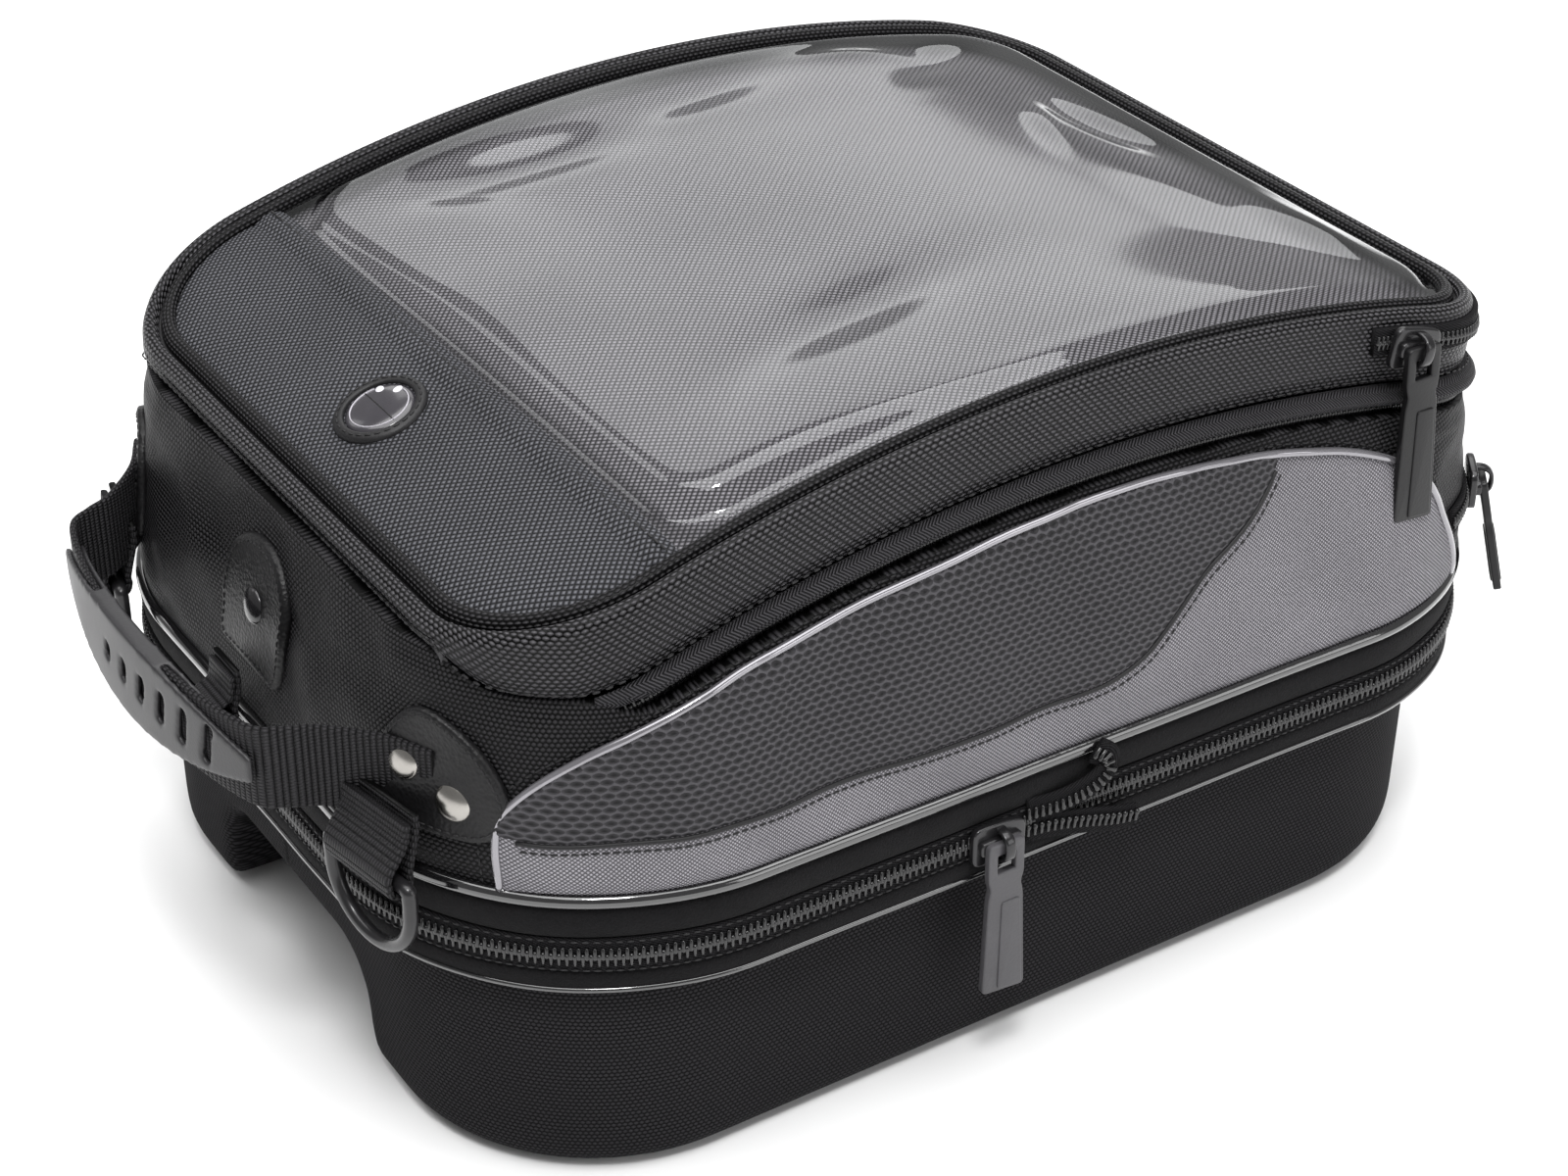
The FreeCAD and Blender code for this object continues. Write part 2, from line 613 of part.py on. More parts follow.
def port_hole():
    return port_cylinder(11.6, -30, 10)


def make_port():
    flange = port_cylinder(PORT_R, 0.5, 2.6)
    neck = port_cylinder(11.4, -7.0, 2.6)
    bore = port_cylinder(10.4, -31, 11)
    keep("port_ring", flange.fuse(neck).cut(bore))
    keep("port_disc", port_cylinder(10.2, -1.0, 1.6))


# ---- zip sliders and pullers --------------------------------------------------------------
def slider():
    """Slider facing -y over a zip that runs along x; its origin is on the coil's surface."""
    plate = box(-SLIDER_LONG / 2, SLIDER_LONG / 2, -SLIDER_PLATE, -0.4,
                -SLIDER_WIDE / 2, SLIDER_WIDE / 2)
    upright = [e for e in plate.Edges if abs(e.Vertexes[0].Y - e.Vertexes[1].Y) > 1]
    plate = plate.makeFillet(2.5, upright)
    y = -SLIDER_PLATE - EYE_UP
    bridge = Part.makeCylinder(4.6, 3.2, V(-1.6, y, 0), V(1, 0, 0))
    hole = Part.makeCylinder(2.3, 40, V(-20, y, 0), V(1, 0, 0))
    bridge = bridge.cut(box(-3, 3, -0.5, 6, -8, 8))
    return plate.fuse(bridge).cut(hole)


def puller(length, bend=0.0, lean=0.0):
    """Puller for that slider, hanging down; its hinge runs along x through its top bar.

    lean swings its lower end out, where it lies on a sloping wall.
    """
    y = -SLIDER_PLATE - EYE_UP
    t = PULLER_THICK / 2
    side_view = [(y - t, 1.2), (y - t, -16), (y - t - bend, -length), (y + t - bend, -length),
                 (y + t, -16), (y + t, 1.2)]
    points = [V(-PULLER_WIDE / 2, a, b) for a, b in side_view]
    plate = Part.Face(Part.makePolygon(points + points[:1])).extrude(V(PULLER_WIDE, 0, 0))
    eye = box(-3.4, 3.4, y - 9, y + 9, -10.0, -1.2)
    tip = [e for e in plate.Edges if e.BoundBox.ZMax < 0.5 - length and e.BoundBox.YLength > 1]
    plate = plate.makeFillet(3.0, tip)
    top = [e for e in plate.Edges if e.BoundBox.ZMin > 1.1 and e.BoundBox.YLength > 1]
    piece = plate.makeFillet(1.1, top).cut(eye)
    piece.rotate(V(0, y, 0), V(1, 0, 0), -lean)
    return piece


def placed(shape, spot, turn=0.0):
    """Turns a piece about z and moves it to its spot."""
    piece = shape.copy()
    if turn:
        piece.rotate(V(0, 0, 0), Z_AXIS, turn)
    piece.translate(spot)
    return piece


def pocket_corner():
    """The corner's centre and radius at the rear pocket's zip."""
    t = (POCKET_Z - PIPING_Z[1]) / (WALL_TOP_Z - PIPING_Z[1])
    radius = WAIST[4] + (WALL_TOP[4] - WAIST[4]) * t
    return V(wall_x(POCKET_Z, False) - radius, -(wall_y(POCKET_Z) - radius), POCKET_Z), radius


def make_zip_pulls():
    keep("waist_slider", placed(slider(), WAIST_SLIDER))
    keep("waist_puller", placed(puller(48.0, 1.0), WAIST_SLIDER))
    tilted = slider()
    tilted.rotate(V(0, 0, 0), Y_AXIS, math.degrees(math.asin((MAP_SLIDER.x - ARCH_X) / ARCH_R)))
    keep("map_slider", placed(tilted, MAP_SLIDER))
    keep("map_puller", placed(puller(52.0, 3.0), MAP_SLIDER))
    lean = math.degrees(math.asin((LID_SLIDER.x - ARCH_X) / ARCH_R))
    drop = LID_ZIP_DROP / math.cos(math.radians(lean))
    spot = V(LID_SLIDER.x, LID_SLIDER.y, arch_z(LID_SLIDER.x) - drop)
    body = slider()
    body.rotate(V(0, 0, 0), Y_AXIS, -lean)
    keep("lid_slider", placed(body, spot, 180.0))
    keep("lid_puller", placed(puller(44.0, 1.0, 9.0), spot, 180.0))
    centre, radius = pocket_corner()
    turn = math.radians(POCKET_TURN)
    out = radius + 2.6
    spot = V(centre.x + out * math.sin(turn), centre.y - out * math.cos(turn), POCKET_Z)
    keep("pocket_slider", placed(slider(), spot, POCKET_TURN))
    keep("pocket_puller", placed(puller(36.0, 1.0, 12.0), spot, POCKET_TURN))


def make_rear_pocket():
    """Coil zip of the rear pocket: a strip round the rear wall, both corners included."""
    outer = loft(WAIST, WALL_TOP, PIPING_Z[1], WALL_TOP_Z, 2.2)
    strip = outer.cut(loft(WAIST, WALL_TOP, PIPING_Z[1], WALL_TOP_Z + 0.01, 0.2))
    window = box(POCKET_X, 260, -200, 200, POCKET_Z - 4.0, POCKET_Z + 4.0)
    keep("rear_pocket_zip", strip.common(window))


def build():
    make_base()
    make_upper_walls()
    make_waist()
    make_lid_zip_lower()
    make_front_hardware()
    make_rear_pocket()
    make_lid()
    make_port()
    make_rings()
    make_handle()
    make_zip_pulls()
    os.makedirs("parts", exist_ok=True)
    for name, shape in nodes.items():
        assert shape.isValid() and shape.Solids, name
        shape.exportStep(f"parts/{name}.step")
        b = shape.BoundBox
        print(f"{name:22s} solids {len(shape.Solids)}  x {b.XMin:7.1f} {b.XMax:7.1f}"
              f"  y {b.YMin:7.1f} {b.YMax:7.1f}  z {b.ZMin:6.1f} {b.ZMax:6.1f}")


build()
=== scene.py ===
"""Looks of the tank bag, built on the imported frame. Shapes are in millimetres, in the frame's axes."""

import math

import bmesh
import bpy
import numpy as np
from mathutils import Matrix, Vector


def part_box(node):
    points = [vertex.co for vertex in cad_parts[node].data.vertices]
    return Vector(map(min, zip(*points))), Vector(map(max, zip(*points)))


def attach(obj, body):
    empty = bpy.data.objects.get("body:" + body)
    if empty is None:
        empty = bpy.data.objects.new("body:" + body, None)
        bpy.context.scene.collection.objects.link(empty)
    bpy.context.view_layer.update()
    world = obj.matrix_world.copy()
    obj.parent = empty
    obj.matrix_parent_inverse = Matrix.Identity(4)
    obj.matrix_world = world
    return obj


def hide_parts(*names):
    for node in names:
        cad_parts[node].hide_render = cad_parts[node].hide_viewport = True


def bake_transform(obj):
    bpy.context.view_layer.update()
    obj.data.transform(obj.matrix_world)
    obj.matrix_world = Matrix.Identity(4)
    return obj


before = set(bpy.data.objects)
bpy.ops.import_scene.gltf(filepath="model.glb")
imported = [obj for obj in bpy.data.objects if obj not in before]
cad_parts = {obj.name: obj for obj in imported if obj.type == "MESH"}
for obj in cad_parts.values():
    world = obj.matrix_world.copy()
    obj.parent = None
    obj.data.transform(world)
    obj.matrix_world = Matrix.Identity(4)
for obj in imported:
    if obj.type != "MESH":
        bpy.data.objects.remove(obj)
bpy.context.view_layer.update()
MM = 0.001

# ---- the object's dimensions, as in the CAD ------------------------------------------------
LID = (-147.5, 170.5, 120.0, 40.0, 29.0)
WALL_TOP = (-150.5, 174.0, 125.0, 50.0, 33.0)
WAIST = (-168.0, 191.0, 137.5, 82.0, 72.0)
BASE = (-161.0, 183.0, 131.5, 67.0, 70.0)
FLOOR = (-163.0, 186.5, 131.5, 76.0, 66.0)
PATCH_Y, PATCH_Z = 94.0, 126.5
RING_BAR_Y, RING_BAR_Z, RING_TURN = 86.0, 100.0, 10.0
FRONT_BAR = (-176.5, 0.0, 99.5)
MAP_SLIDER_AT = (131.0, -127.9, 181.5)
LID_SLIDER_AT = (-100.0, 132.8)
PORT_X = -120.5
POCKET_Z = 117.0
WAIST_ZIP_Z = 78.1
LID_ZIP_DROP = 27.8
TOOTH_PITCH = 2.03
POCKET_TURN = math.radians(52.0)
WALL_Z0, WALL_Z1 = 96.9, 185.0
ARCH_X, ARCH_Z, ARCH_R = 29.8, 198.7, 482.4
SEAM_X = -97.5
HINGE_Z = 159.3
HANDLE_Z = 121.0
X_AXIS, Y_AXIS, UP = np.eye(3)


def lerp(a, b, t):
    return a + (b - a) * t


def smooth(t):
    """0 to 1 with a soft start and end."""
    t = np.clip(t, 0.0, 1.0)
    return t * t * (3 - 2 * t)


def arch(x):
    """Height of the lid's top line at x."""
    return ARCH_Z - ARCH_R + np.sqrt(ARCH_R ** 2 - (x - ARCH_X) ** 2)


def join(*parts):
    """Separate coordinates as one array of points."""
    return np.stack(np.broadcast_arrays(*parts), -1)


def arch_frame(x):
    """The arch at x: its lean, its direction to the rear and the direction square to it."""
    lean = math.asin((x - ARCH_X) / ARCH_R)
    c, s = math.cos(lean), math.sin(lean)
    return lean, np.array([c, 0, -s]), np.array([s, 0, c])


# ---- plan outlines: 9 stretches, from the middle of the rear round the far side -----------
def plan_point(plan, T, off=0.0):
    """x, y and outward normal on a rounded rectangle; T runs 0..9, stretch by stretch."""
    x0, x1, half, rf, rr = [np.asarray(p, float) + 0 * T for p in plan]
    k = np.clip(np.floor(T), 0, 8).astype(int)
    u = T - k
    a = u * math.pi / 2
    zero, one = 0 * T, 0 * T + 1
    cases = [
        (x1, lerp(zero, half - rr, u), one, zero),
        (x1 - rr + rr * np.cos(a), half - rr + rr * np.sin(a), np.cos(a), np.sin(a)),
        (lerp(x1 - rr, x0 + rf, u), half, zero, one),
        (x0 + rf - rf * np.sin(a), half - rf + rf * np.cos(a), -np.sin(a), np.cos(a)),
        (x0, lerp(half - rf, -half + rf, u), -one, zero),
        (x0 + rf - rf * np.cos(a), -half + rf - rf * np.sin(a), -np.cos(a), -np.sin(a)),
        (lerp(x0 + rf, x1 - rr, u), -half, zero, -one),
        (x1 - rr + rr * np.sin(a), -half + rr - rr * np.cos(a), np.sin(a), -np.cos(a)),
        (x1, lerp(-half + rr, zero, u), one, zero),
    ]
    x, y, nx, ny = [np.choose(k, [c[i] for c in cases]) for i in range(4)]
    return x + nx * off, y + ny * off, nx, ny


def near_T(plan, x):
    """T of the near side's point at x."""
    x0, x1, _, rf, rr = [np.asarray(p, float) + 0 * x for p in plan]
    front = 5 + np.arccos(np.clip((x0 + rf - x) / rf, -1, 1)) / (math.pi / 2)
    middle = 6 + (x - x0 - rf) / (x1 - rr - x0 - rf)
    rear = 7 + np.arcsin(np.clip((x - x1 + rr) / rr, -1, 1)) / (math.pi / 2)
    return np.where(x < x0 + rf, front, np.where(x > x1 - rr, rear, middle))


def round_rear(plan, x):
    """From the near side's point at x round the rear to the far side, as two stretches."""
    start = float(near_T(plan, np.array(x)))
    return ("near", start, 9.0), ("far", 0.0, 9.0 - start)


def lengths(plan):
    """Length of each of the nine stretches."""
    x0, x1, half, rf, rr = plan
    q = math.pi / 2
    side = x1 - x0 - rf - rr
    return [half - rr, rr * q, side, rf * q, 2 * (half - rf), rf * q, side, rr * q, half - rr]


def stations(plan, step, T0=0.0, T1=9.0):
    """T values about step apart, with every stretch's end among them."""
    out = []
    for k, length in enumerate(lengths(plan)):
        a, b = max(T0, k), min(T1, k + 1)
        if b - a > 1e-9:
            n = max(1, int(round(length * (b - a) / step)))
            out += list(np.linspace(a, b, n + 1)[:-1])
    return np.array(out + [min(T1, 9.0)])


def distance_T(plan, T0, T1, step):
    """T values exactly evenly spaced by distance, for things such as zip teeth."""
    dense = stations(plan, 1.0, T0, T1)
    x, y, _, _ = plan_point(plan, dense)
    s = np.concatenate([[0], np.cumsum(np.hypot(np.diff(x), np.diff(y)))])
    n = int(s[-1] / step)
    return np.interp(np.arange(n) * step + step / 2, s, dense)


# ---- mesh building -----------------------------------------------------------------------
def make_object(name, verts, faces, loop_uv=None):
    """A mesh object from millimetres; its UV layer holds real distances for the weave."""
    me = bpy.data.meshes.new(name)
    me.from_pydata((np.asarray(verts, float) * MM).tolist(), [], [list(map(int, f)) for f in faces])
    if loop_uv is not None:
        layer = me.uv_layers.new(name="weave")
        layer.data.foreach_set("uv", (np.asarray(loop_uv, float) * MM).astype(np.float32).ravel())
    bm = bmesh.new()
    bm.from_mesh(me)
    bmesh.ops.recalc_face_normals(bm, faces=bm.faces)
    bm.to_mesh(me)
    bm.free()
    me.polygons.foreach_set("use_smooth", [True] * len(me.polygons))
    ob = bpy.data.objects.new(name, me)
    bpy.context.scene.collection.objects.link(ob)
    return ob


def grid_faces(nu, nv, closed_u, closed_v):
    """Four-cornered faces of a grid, with the row and column each one starts from."""
    rows = np.arange(nu if closed_u else nu - 1)
    columns = np.arange(nv if closed_v else nv - 1)
    I, J = np.meshgrid(rows, columns, indexing="ij")
    I2, J2 = (I + 1) % nu, (J + 1) % nv
    faces = np.stack([I * nv + J, I2 * nv + J, I2 * nv + J2, I * nv + J2], -1).reshape(-1, 4)
    return faces, I, J


def grid(name, P, UV, closed_u=False, closed_v=False, caps=False):
    """Sheet or tube over points P[u, v]; UV has one more row or column where it closes."""
    nu, nv = P.shape[:2]
    faces, I, J = grid_faces(nu, nv, closed_u, closed_v)
    uv = np.stack([UV[I, J], UV[I + 1, J], UV[I + 1, J + 1], UV[I, J + 1]], -2).reshape(-1, 2)
    faces = list(faces)
    if caps:
        for row in (0, nu - 1):
            faces.append([row * nv + j for j in range(nv)])
            uv = np.concatenate([uv, UV[row, :nv]])
    return make_object(name, P.reshape(-1, 3), faces, uv)


def shell(name, outer, inner, UV, closed_u=False):
    """Closed thin solid between two sheets of the same size."""
    nu, nv = outer.shape[:2]
    P = np.concatenate([outer, inner[:, ::-1]], 1)
    UV2 = np.concatenate([UV, UV[:, ::-1], UV[:, :1]], 1)
    faces, I, J = grid_faces(nu, 2 * nv, closed_u, True)
    uv = np.stack([UV2[I, J], UV2[I + 1, J], UV2[I + 1, J + 1], UV2[I, J + 1]], -2).reshape(-1, 2)
    faces = list(faces)
    if not closed_u:
        more = []
        for row in (0, nu - 1):
            for j in range(nv - 1):
                a, b = row * 2 * nv + j, row * 2 * nv + 2 * nv - 1 - j
                faces.append([a, a + 1, b - 1, b])
                more += [UV[row, j], UV[row, j + 1], UV[row, j + 1], UV[row, j]]
        uv = np.concatenate([uv, np.array(more)])
    return make_object(name, P.reshape(-1, 3), faces, uv)


def tube(name, P, closed=False):
    """Tube over rows of points that each go once round it; its ends are capped unless it closes."""
    return grid(name, P, surface_uv(P, closed, True), closed, True, caps=not closed)


def along(P):
    """Distance along rows of points, from the first."""
    d = np.linalg.norm(np.diff(P, axis=0), axis=-1)
    return np.concatenate([np.zeros((1,) + d.shape[1:]), np.cumsum(d, 0)])


def surface_uv(P, closed_u=False, closed_v=False):
    """Real distances over a grid of points: along its middle row, and across."""
    Q = np.concatenate([P, P[:1]], 0) if closed_u else P
    Q = np.concatenate([Q, Q[:, :1]], 1) if closed_v else Q
    u = along(Q[:, Q.shape[1] // 2])
    v = along(np.swapaxes(Q, 0, 1)).T
    return np.stack([np.repeat(u[:, None], Q.shape[1], 1), v], -1)


def unit(v):
    return v / np.maximum(np.linalg.norm(v, axis=-1, keepdims=True), 1e-9)


def tangents(path, closed=False):
    if closed:
        return unit(np.roll(path, -1, 0) - np.roll(path, 1, 0))
    return unit(np.gradient(path, axis=0))


def sweep(name, path, side, section, closed=False, scale=None):
    """A section (a, b) carried along a path; side is the direction of a, b is square to it."""
    t = tangents(path, closed)
    side = np.broadcast_to(np.asarray(side, float), path.shape)
    a = unit(side - t * np.sum(side * t, -1, keepdims=True))
    b = np.cross(t, a)
    s = np.ones(len(path)) if scale is None else scale
    round_it = a[:, None] * section[None, :, :1] + b[:, None] * section[None, :, 1:]
    P = path[:, None] + round_it * s[:, None, None]
    return tube(name, P, closed)


def circle(r, n=12, squash=1.0):
    a = np.arange(n) * 2 * math.pi / n
    return join(r * np.cos(a), r * squash * np.sin(a))


def strap_section(wide, thick, n=6):
    """Flat strap with round edges: a is its width, b its thickness."""
    r = thick / 2
    out = []
    for sgn, start in ((1, -90), (-1, 90)):
        for i in range(n + 1):
            t = math.radians(start + 180 * i / n)
            out.append((sgn * (wide / 2 - r) + r * math.cos(t), r * math.sin(t)))
    return np.array(out)


def rounded_path(points, n=10, closed=False):
    """Smooth curve through points."""
    p = np.asarray(points, float)
    if closed:
        q = np.concatenate([p[-1:], p, p[:2]])
    else:
        q = np.concatenate([2 * p[:1] - p[1:2], p, 2 * p[-1:] - p[-2:-1]])
    out = []
    for i in range(1, len(q) - 2):
        u = np.linspace(0, 1, n, endpoint=False)[:, None]
        a, b, c, d = q[i - 1], q[i], q[i + 1], q[i + 2]
        out.append(0.5 * (2 * b + (c - a) * u + (2 * a - 5 * b + 4 * c - d) * u ** 2
                          + (3 * b - a - 3 * c + d) * u ** 3))
    if not closed:
        out.append(p[-1:])
    return np.concatenate(out)


def even(path, step):
    """Points of a path at even distances."""
    s = along(path)
    n = max(2, int(s[-1] / step) + 1)
    at = np.linspace(0, s[-1], n)
    return np.stack([np.interp(at, s, path[:, i]) for i in range(path.shape[1])], -1)


def copies(name, verts, faces, origins, frames):
    """One mesh of many copies of a small shape; frames[i] holds the directions of its x, y, z."""
    verts = np.asarray(verts, float)
    V = origins[:, None] + np.einsum("kj,njm->nkm", verts, frames)
    F = [[v + i * len(verts) for v in f] for i in range(len(origins)) for f in faces]
    return make_object(name, V.reshape(-1, 3), F)


def round_faces(rows, n, closed):
    """Faces between rows of n points; closed joins the last row to the first, else ends are capped."""
    faces = []
    for k in range(rows if closed else rows - 1):
        k2 = (k + 1) % rows
        for i in range(n):
            j = (i + 1) % n
            faces.append([k * n + i, k * n + j, k2 * n + j, k2 * n + i])
    if not closed:
        faces.append(list(range(n)))
        faces.append([(rows - 1) * n + i for i in range(n)])
    return faces


def turned(profile, n, closed=False):
    """Shape turned about z: profile is (radius, height), an open line with caps or a closed one."""
    angles = [2 * math.pi * i / n for i in range(n)]
    verts = [(r * math.cos(a), r * math.sin(a), h) for r, h in profile for a in angles]
    return verts, round_faces(len(profile), n, closed)


def bar_shape(stops, n=6):
    """A small round bar along y; stops are (y, radius)."""
    verts, faces = turned([(r, y) for y, r in stops], n)
    return [(a, h, b) for a, b, h in verts], faces


STITCH = bar_shape([(-1.25, 0.12), (-0.9, 0.38), (0, 0.44), (0.9, 0.38), (1.25, 0.12)])


def stitches(name, path, out, body, pitch=3.4, size=1.0):
    """A row of thread stitches on a path; out is the surface's outward direction there."""
    path = np.asarray(path, float)
    both = np.concatenate([path, np.broadcast_to(np.asarray(out, float), path.shape)], 1)
    both = even(both, pitch)
    p, o = both[:, :3], unit(both[:, 3:])
    t = tangents(p)
    a = unit(np.cross(t, o))
    frames = np.stack([a * size, t * size, o * size * 0.8], 1)
    return finish_piece(copies(name, *STITCH, p, frames), M["thread"], body)


# ---- materials ---------------------------------------------------------------------------
class Nodes:
    """Short forms for building a node material."""

    def __init__(self, name):
        self.mat = bpy.data.materials.new(name)
        self.mat.use_nodes = True
        self.tree = self.mat.node_tree
        self.bsdf = self.tree.nodes["Principled BSDF"]

    def put(self, socket, value):
        if isinstance(value, bpy.types.NodeSocket):
            self.tree.links.new(value, socket)
        else:
            socket.default_value = value

    def m(self, op, *values):
        node = self.tree.nodes.new("ShaderNodeMath")
        node.operation = op
        for i, v in enumerate(values):
            self.put(node.inputs[i], v)
        return node.outputs[0]

    def uv(self):
        """Distances on the piece in millimetres, along and across."""
        node = self.tree.nodes.new("ShaderNodeUVMap")
        node.uv_map = "weave"
        split = self.tree.nodes.new("ShaderNodeSeparateXYZ")
        self.tree.links.new(node.outputs[0], split.inputs[0])
        return self.m("MULTIPLY", split.outputs[0], 1000.0), self.m("MULTIPLY", split.outputs[1], 1000.0)

    def place(self):
        return self.tree.nodes.new("ShaderNodeTexCoord").outputs["Object"]

    def noise(self, scale, detail=3.0, rough=0.5):
        node = self.tree.nodes.new("ShaderNodeTexNoise")
        self.tree.links.new(self.place(), node.inputs["Vector"])
        node.inputs["Scale"].default_value = scale
        node.inputs["Detail"].default_value = detail
        node.inputs["Roughness"].default_value = rough
        return node.outputs[0]

    def cells(self, scale):
        node = self.tree.nodes.new("ShaderNodeTexVoronoi")
        node.feature = "F1"
        self.tree.links.new(self.place(), node.inputs["Vector"])
        node.inputs["Scale"].default_value = scale
        return node.outputs["Distance"]

    def wave(self, x, pitch):
        """0..1, one bump per pitch."""
        return self.m("ABSOLUTE", self.m("SINE", self.m("MULTIPLY", x, math.pi / pitch)))

    def colour(self, fac, low, high):
        node = self.tree.nodes.new("ShaderNodeMix")
        node.data_type = "RGBA"
        self.put(node.inputs["Factor"], fac)
        node.inputs["A"].default_value = (*low, 1)
        node.inputs["B"].default_value = (*high, 1)
        return node.outputs["Result"]

    def bump(self, height, distance_mm, strength=1.0):
        node = self.tree.nodes.new("ShaderNodeBump")
        node.inputs["Strength"].default_value = strength
        node.inputs["Distance"].default_value = distance_mm * MM
        self.put(node.inputs["Height"], height)
        self.tree.links.new(node.outputs[0], self.bsdf.inputs["Normal"])

    def set(self, **values):
        for key, v in values.items():
            self.put(self.bsdf.inputs[key.replace("_", " ")], v)
        return self.mat


def basket(n, u, v, p):
    """Basket weave: threads that go over and under in turn."""
    a, b = n.wave(u, p), n.wave(v, p)
    u_turn, v_turn = [n.m("SINE", n.m("MULTIPLY", w, math.pi / p)) for w in (u, v)]
    cross = n.m("MULTIPLY", u_turn, v_turn)
    over = n.m("GREATER_THAN", cross, 0.0)
    h1 = n.m("MULTIPLY", n.m("POWER", a, 0.5), n.m("MULTIPLY_ADD", b, 0.4, 0.6))
    h2 = n.m("MULTIPLY", n.m("POWER", b, 0.5), n.m("MULTIPLY_ADD", a, 0.4, 0.6))
    under = n.m("MULTIPLY", n.m("SUBTRACT", 1.0, over), n.m("MULTIPLY", h2, 0.8))
    return n.m("ADD", n.m("MULTIPLY", over, h1), under)


def dots(n, u, v, p):
    """Rows of small raised dots, set on the bias."""
    a = n.m("ADD", u, v)
    b = n.m("SUBTRACT", u, v)
    return n.m("MULTIPLY", n.wave(a, p * 1.414), n.wave(b, p * 1.414))


def ribs(n, u, v, p):
    """Fine diagonal ribs broken by the cross threads."""
    a = n.wave(n.m("ADD", v, n.m("MULTIPLY", u, 0.45)), p)
    b = n.wave(n.m("ADD", u, n.m("MULTIPLY", v, -0.3)), p * 0.8)
    return n.m("MULTIPLY", a, n.m("MULTIPLY_ADD", b, 0.5, 0.5))


def lozenges(n, u, v, a, b):
    """Rows of separate raised lozenges, a long and b high, every second row shifted by half."""
    row = n.m("DIVIDE", v, b)
    odd = n.m("MODULO", n.m("ABSOLUTE", n.m("FLOOR", row)), 2.0)
    across = n.m("SUBTRACT", n.m("FRACT", n.m("MULTIPLY_ADD", odd, 0.5, n.m("DIVIDE", u, a))), 0.5)
    up = n.m("SUBTRACT", n.m("FRACT", row), 0.5)
    a_part = n.m("POWER", n.m("MULTIPLY", n.m("ABSOLUTE", across), 2.05), 1.6)
    b_part = n.m("POWER", n.m("MULTIPLY", n.m("ABSOLUTE", up), 2.2), 1.6)
    far = n.m("ADD", a_part, b_part)
    return n.m("POWER", n.m("MAXIMUM", n.m("SUBTRACT", 1.0, far), 0.0), 0.6)


def dimples(n, u, v, a, b):
    """A smooth face with staggered pressed-in dimples, each deepest at its upper edge."""
    return n.m("SUBTRACT", 1.0, n.m("MULTIPLY", lozenges(n, u, v, a, b), 0.95))


def herring(n, u, v, p):
    """Ribs that turn back at even distances across the piece."""
    zig = n.m("PINGPONG", v, 2.6)
    return n.wave(n.m("ADD", u, zig), p)


def tone(v):
    """A colour as given, or the grey of that strength."""
    return v if isinstance(v, tuple) else grey(v)


def cloth(name, pattern, size, low, high, rough, bump, spec=0.4, sheen=0.0):
    """A woven material: its relief follows the weave, and its colour follows it too, darker in the hollows
    as painted shade and lighter on raised threads as painted highlight, with soft wear and shade across it.
    """
    n = Nodes(name)
    u, v = n.uv()
    h = pattern(n, u, v, *size)
    wide = n.noise(28.0, 3.0)
    fine = n.noise(900.0, 2.0)
    shade = n.m("MULTIPLY_ADD", wide, 0.5, 0.75)
    # Colour runs with the weave's height: raised threads are lighter as painted highlight, and hollows are
    # darker as painted shade.
    fac = n.m("MULTIPLY", h, n.m("MULTIPLY", shade, n.m("MULTIPLY_ADD", fine, 0.5, 0.75)))
    n.bump(n.m("MULTIPLY_ADD", fine, 0.15, h), bump)
    return n.set(Base_Color=n.colour(fac, tone(low), tone(high)),
                 Roughness=n.m("MULTIPLY_ADD", wide, 0.16, rough - 0.08),
                 Specular_IOR_Level=spec, Sheen_Weight=sheen, Sheen_Roughness=0.4)


def solid(name, low, high, rough, metal=0.0, grain=400.0, bump=0.02, coat=0.0, spec=0.5, cells=False):
    """A moulded, painted or metal material: fine grain, small stains, uneven gloss."""
    n = Nodes(name)
    stain = n.noise(45.0, 4.0)
    fine = n.cells(grain) if cells else n.noise(grain, 3.0)
    n.bump(fine, bump)
    fac = n.m("MULTIPLY_ADD", fine, 0.3, n.m("MULTIPLY", stain, 0.7))
    return n.set(Base_Color=n.colour(fac, tone(low), tone(high)),
                 Roughness=n.m("MULTIPLY_ADD", stain, 0.18, rough - 0.09), Metallic=metal,
                 Specular_IOR_Level=spec, Coat_Weight=coat, Coat_Roughness=0.08)


def grey(v, tint=1.0):
    """A grey of strength v that leans a little to blue and red."""
    return (v * (1 + 0.02 * tint), v * (1 - 0.015 * tint), v * (1 + 0.07 * tint))


def blue_grey(v):
    """A cooler grey of strength v."""
    return (v * 0.98, v * 0.99, v * 1.10)


def film():
    """Clear film: a mirror where it is seen at a shallow angle, clear elsewhere."""
    n = Nodes("clear_film")
    fres = n.tree.nodes.new("ShaderNodeFresnel")
    fres.inputs["IOR"].default_value = 1.5
    split = n.tree.nodes.new("ShaderNodeSeparateXYZ")
    n.tree.links.new(n.place(), split.inputs[0])
    side = n.m("MULTIPLY", n.m("ABSOLUTE", split.outputs[1]), 1000.0)
    front = n.m("MULTIPLY_ADD", split.outputs[0], -1000.0, 14.0)
    rear = n.m("MULTIPLY_ADD", split.outputs[0], 1000.0, -20.0)
    edge = n.m("SUBTRACT", n.m("MAXIMUM", n.m("MAXIMUM", side, front), rear), 84.0)
    sharp = n.m("MINIMUM", n.m("MAXIMUM", n.m("DIVIDE", edge, 18.0), 0.0), 1.0)
    n.bump(n.noise(9.0, 0.0), 0.8, 0.5)
    alpha = n.m("MULTIPLY", fres.outputs[0], 1.2)
    return n.set(Base_Color=(0.93, 0.94, 0.95, 1), Metallic=1.0,
                 Roughness=n.m("MULTIPLY_ADD", sharp, -0.09, 0.11),
                 Alpha=n.m("MINIMUM", alpha, 0.9))


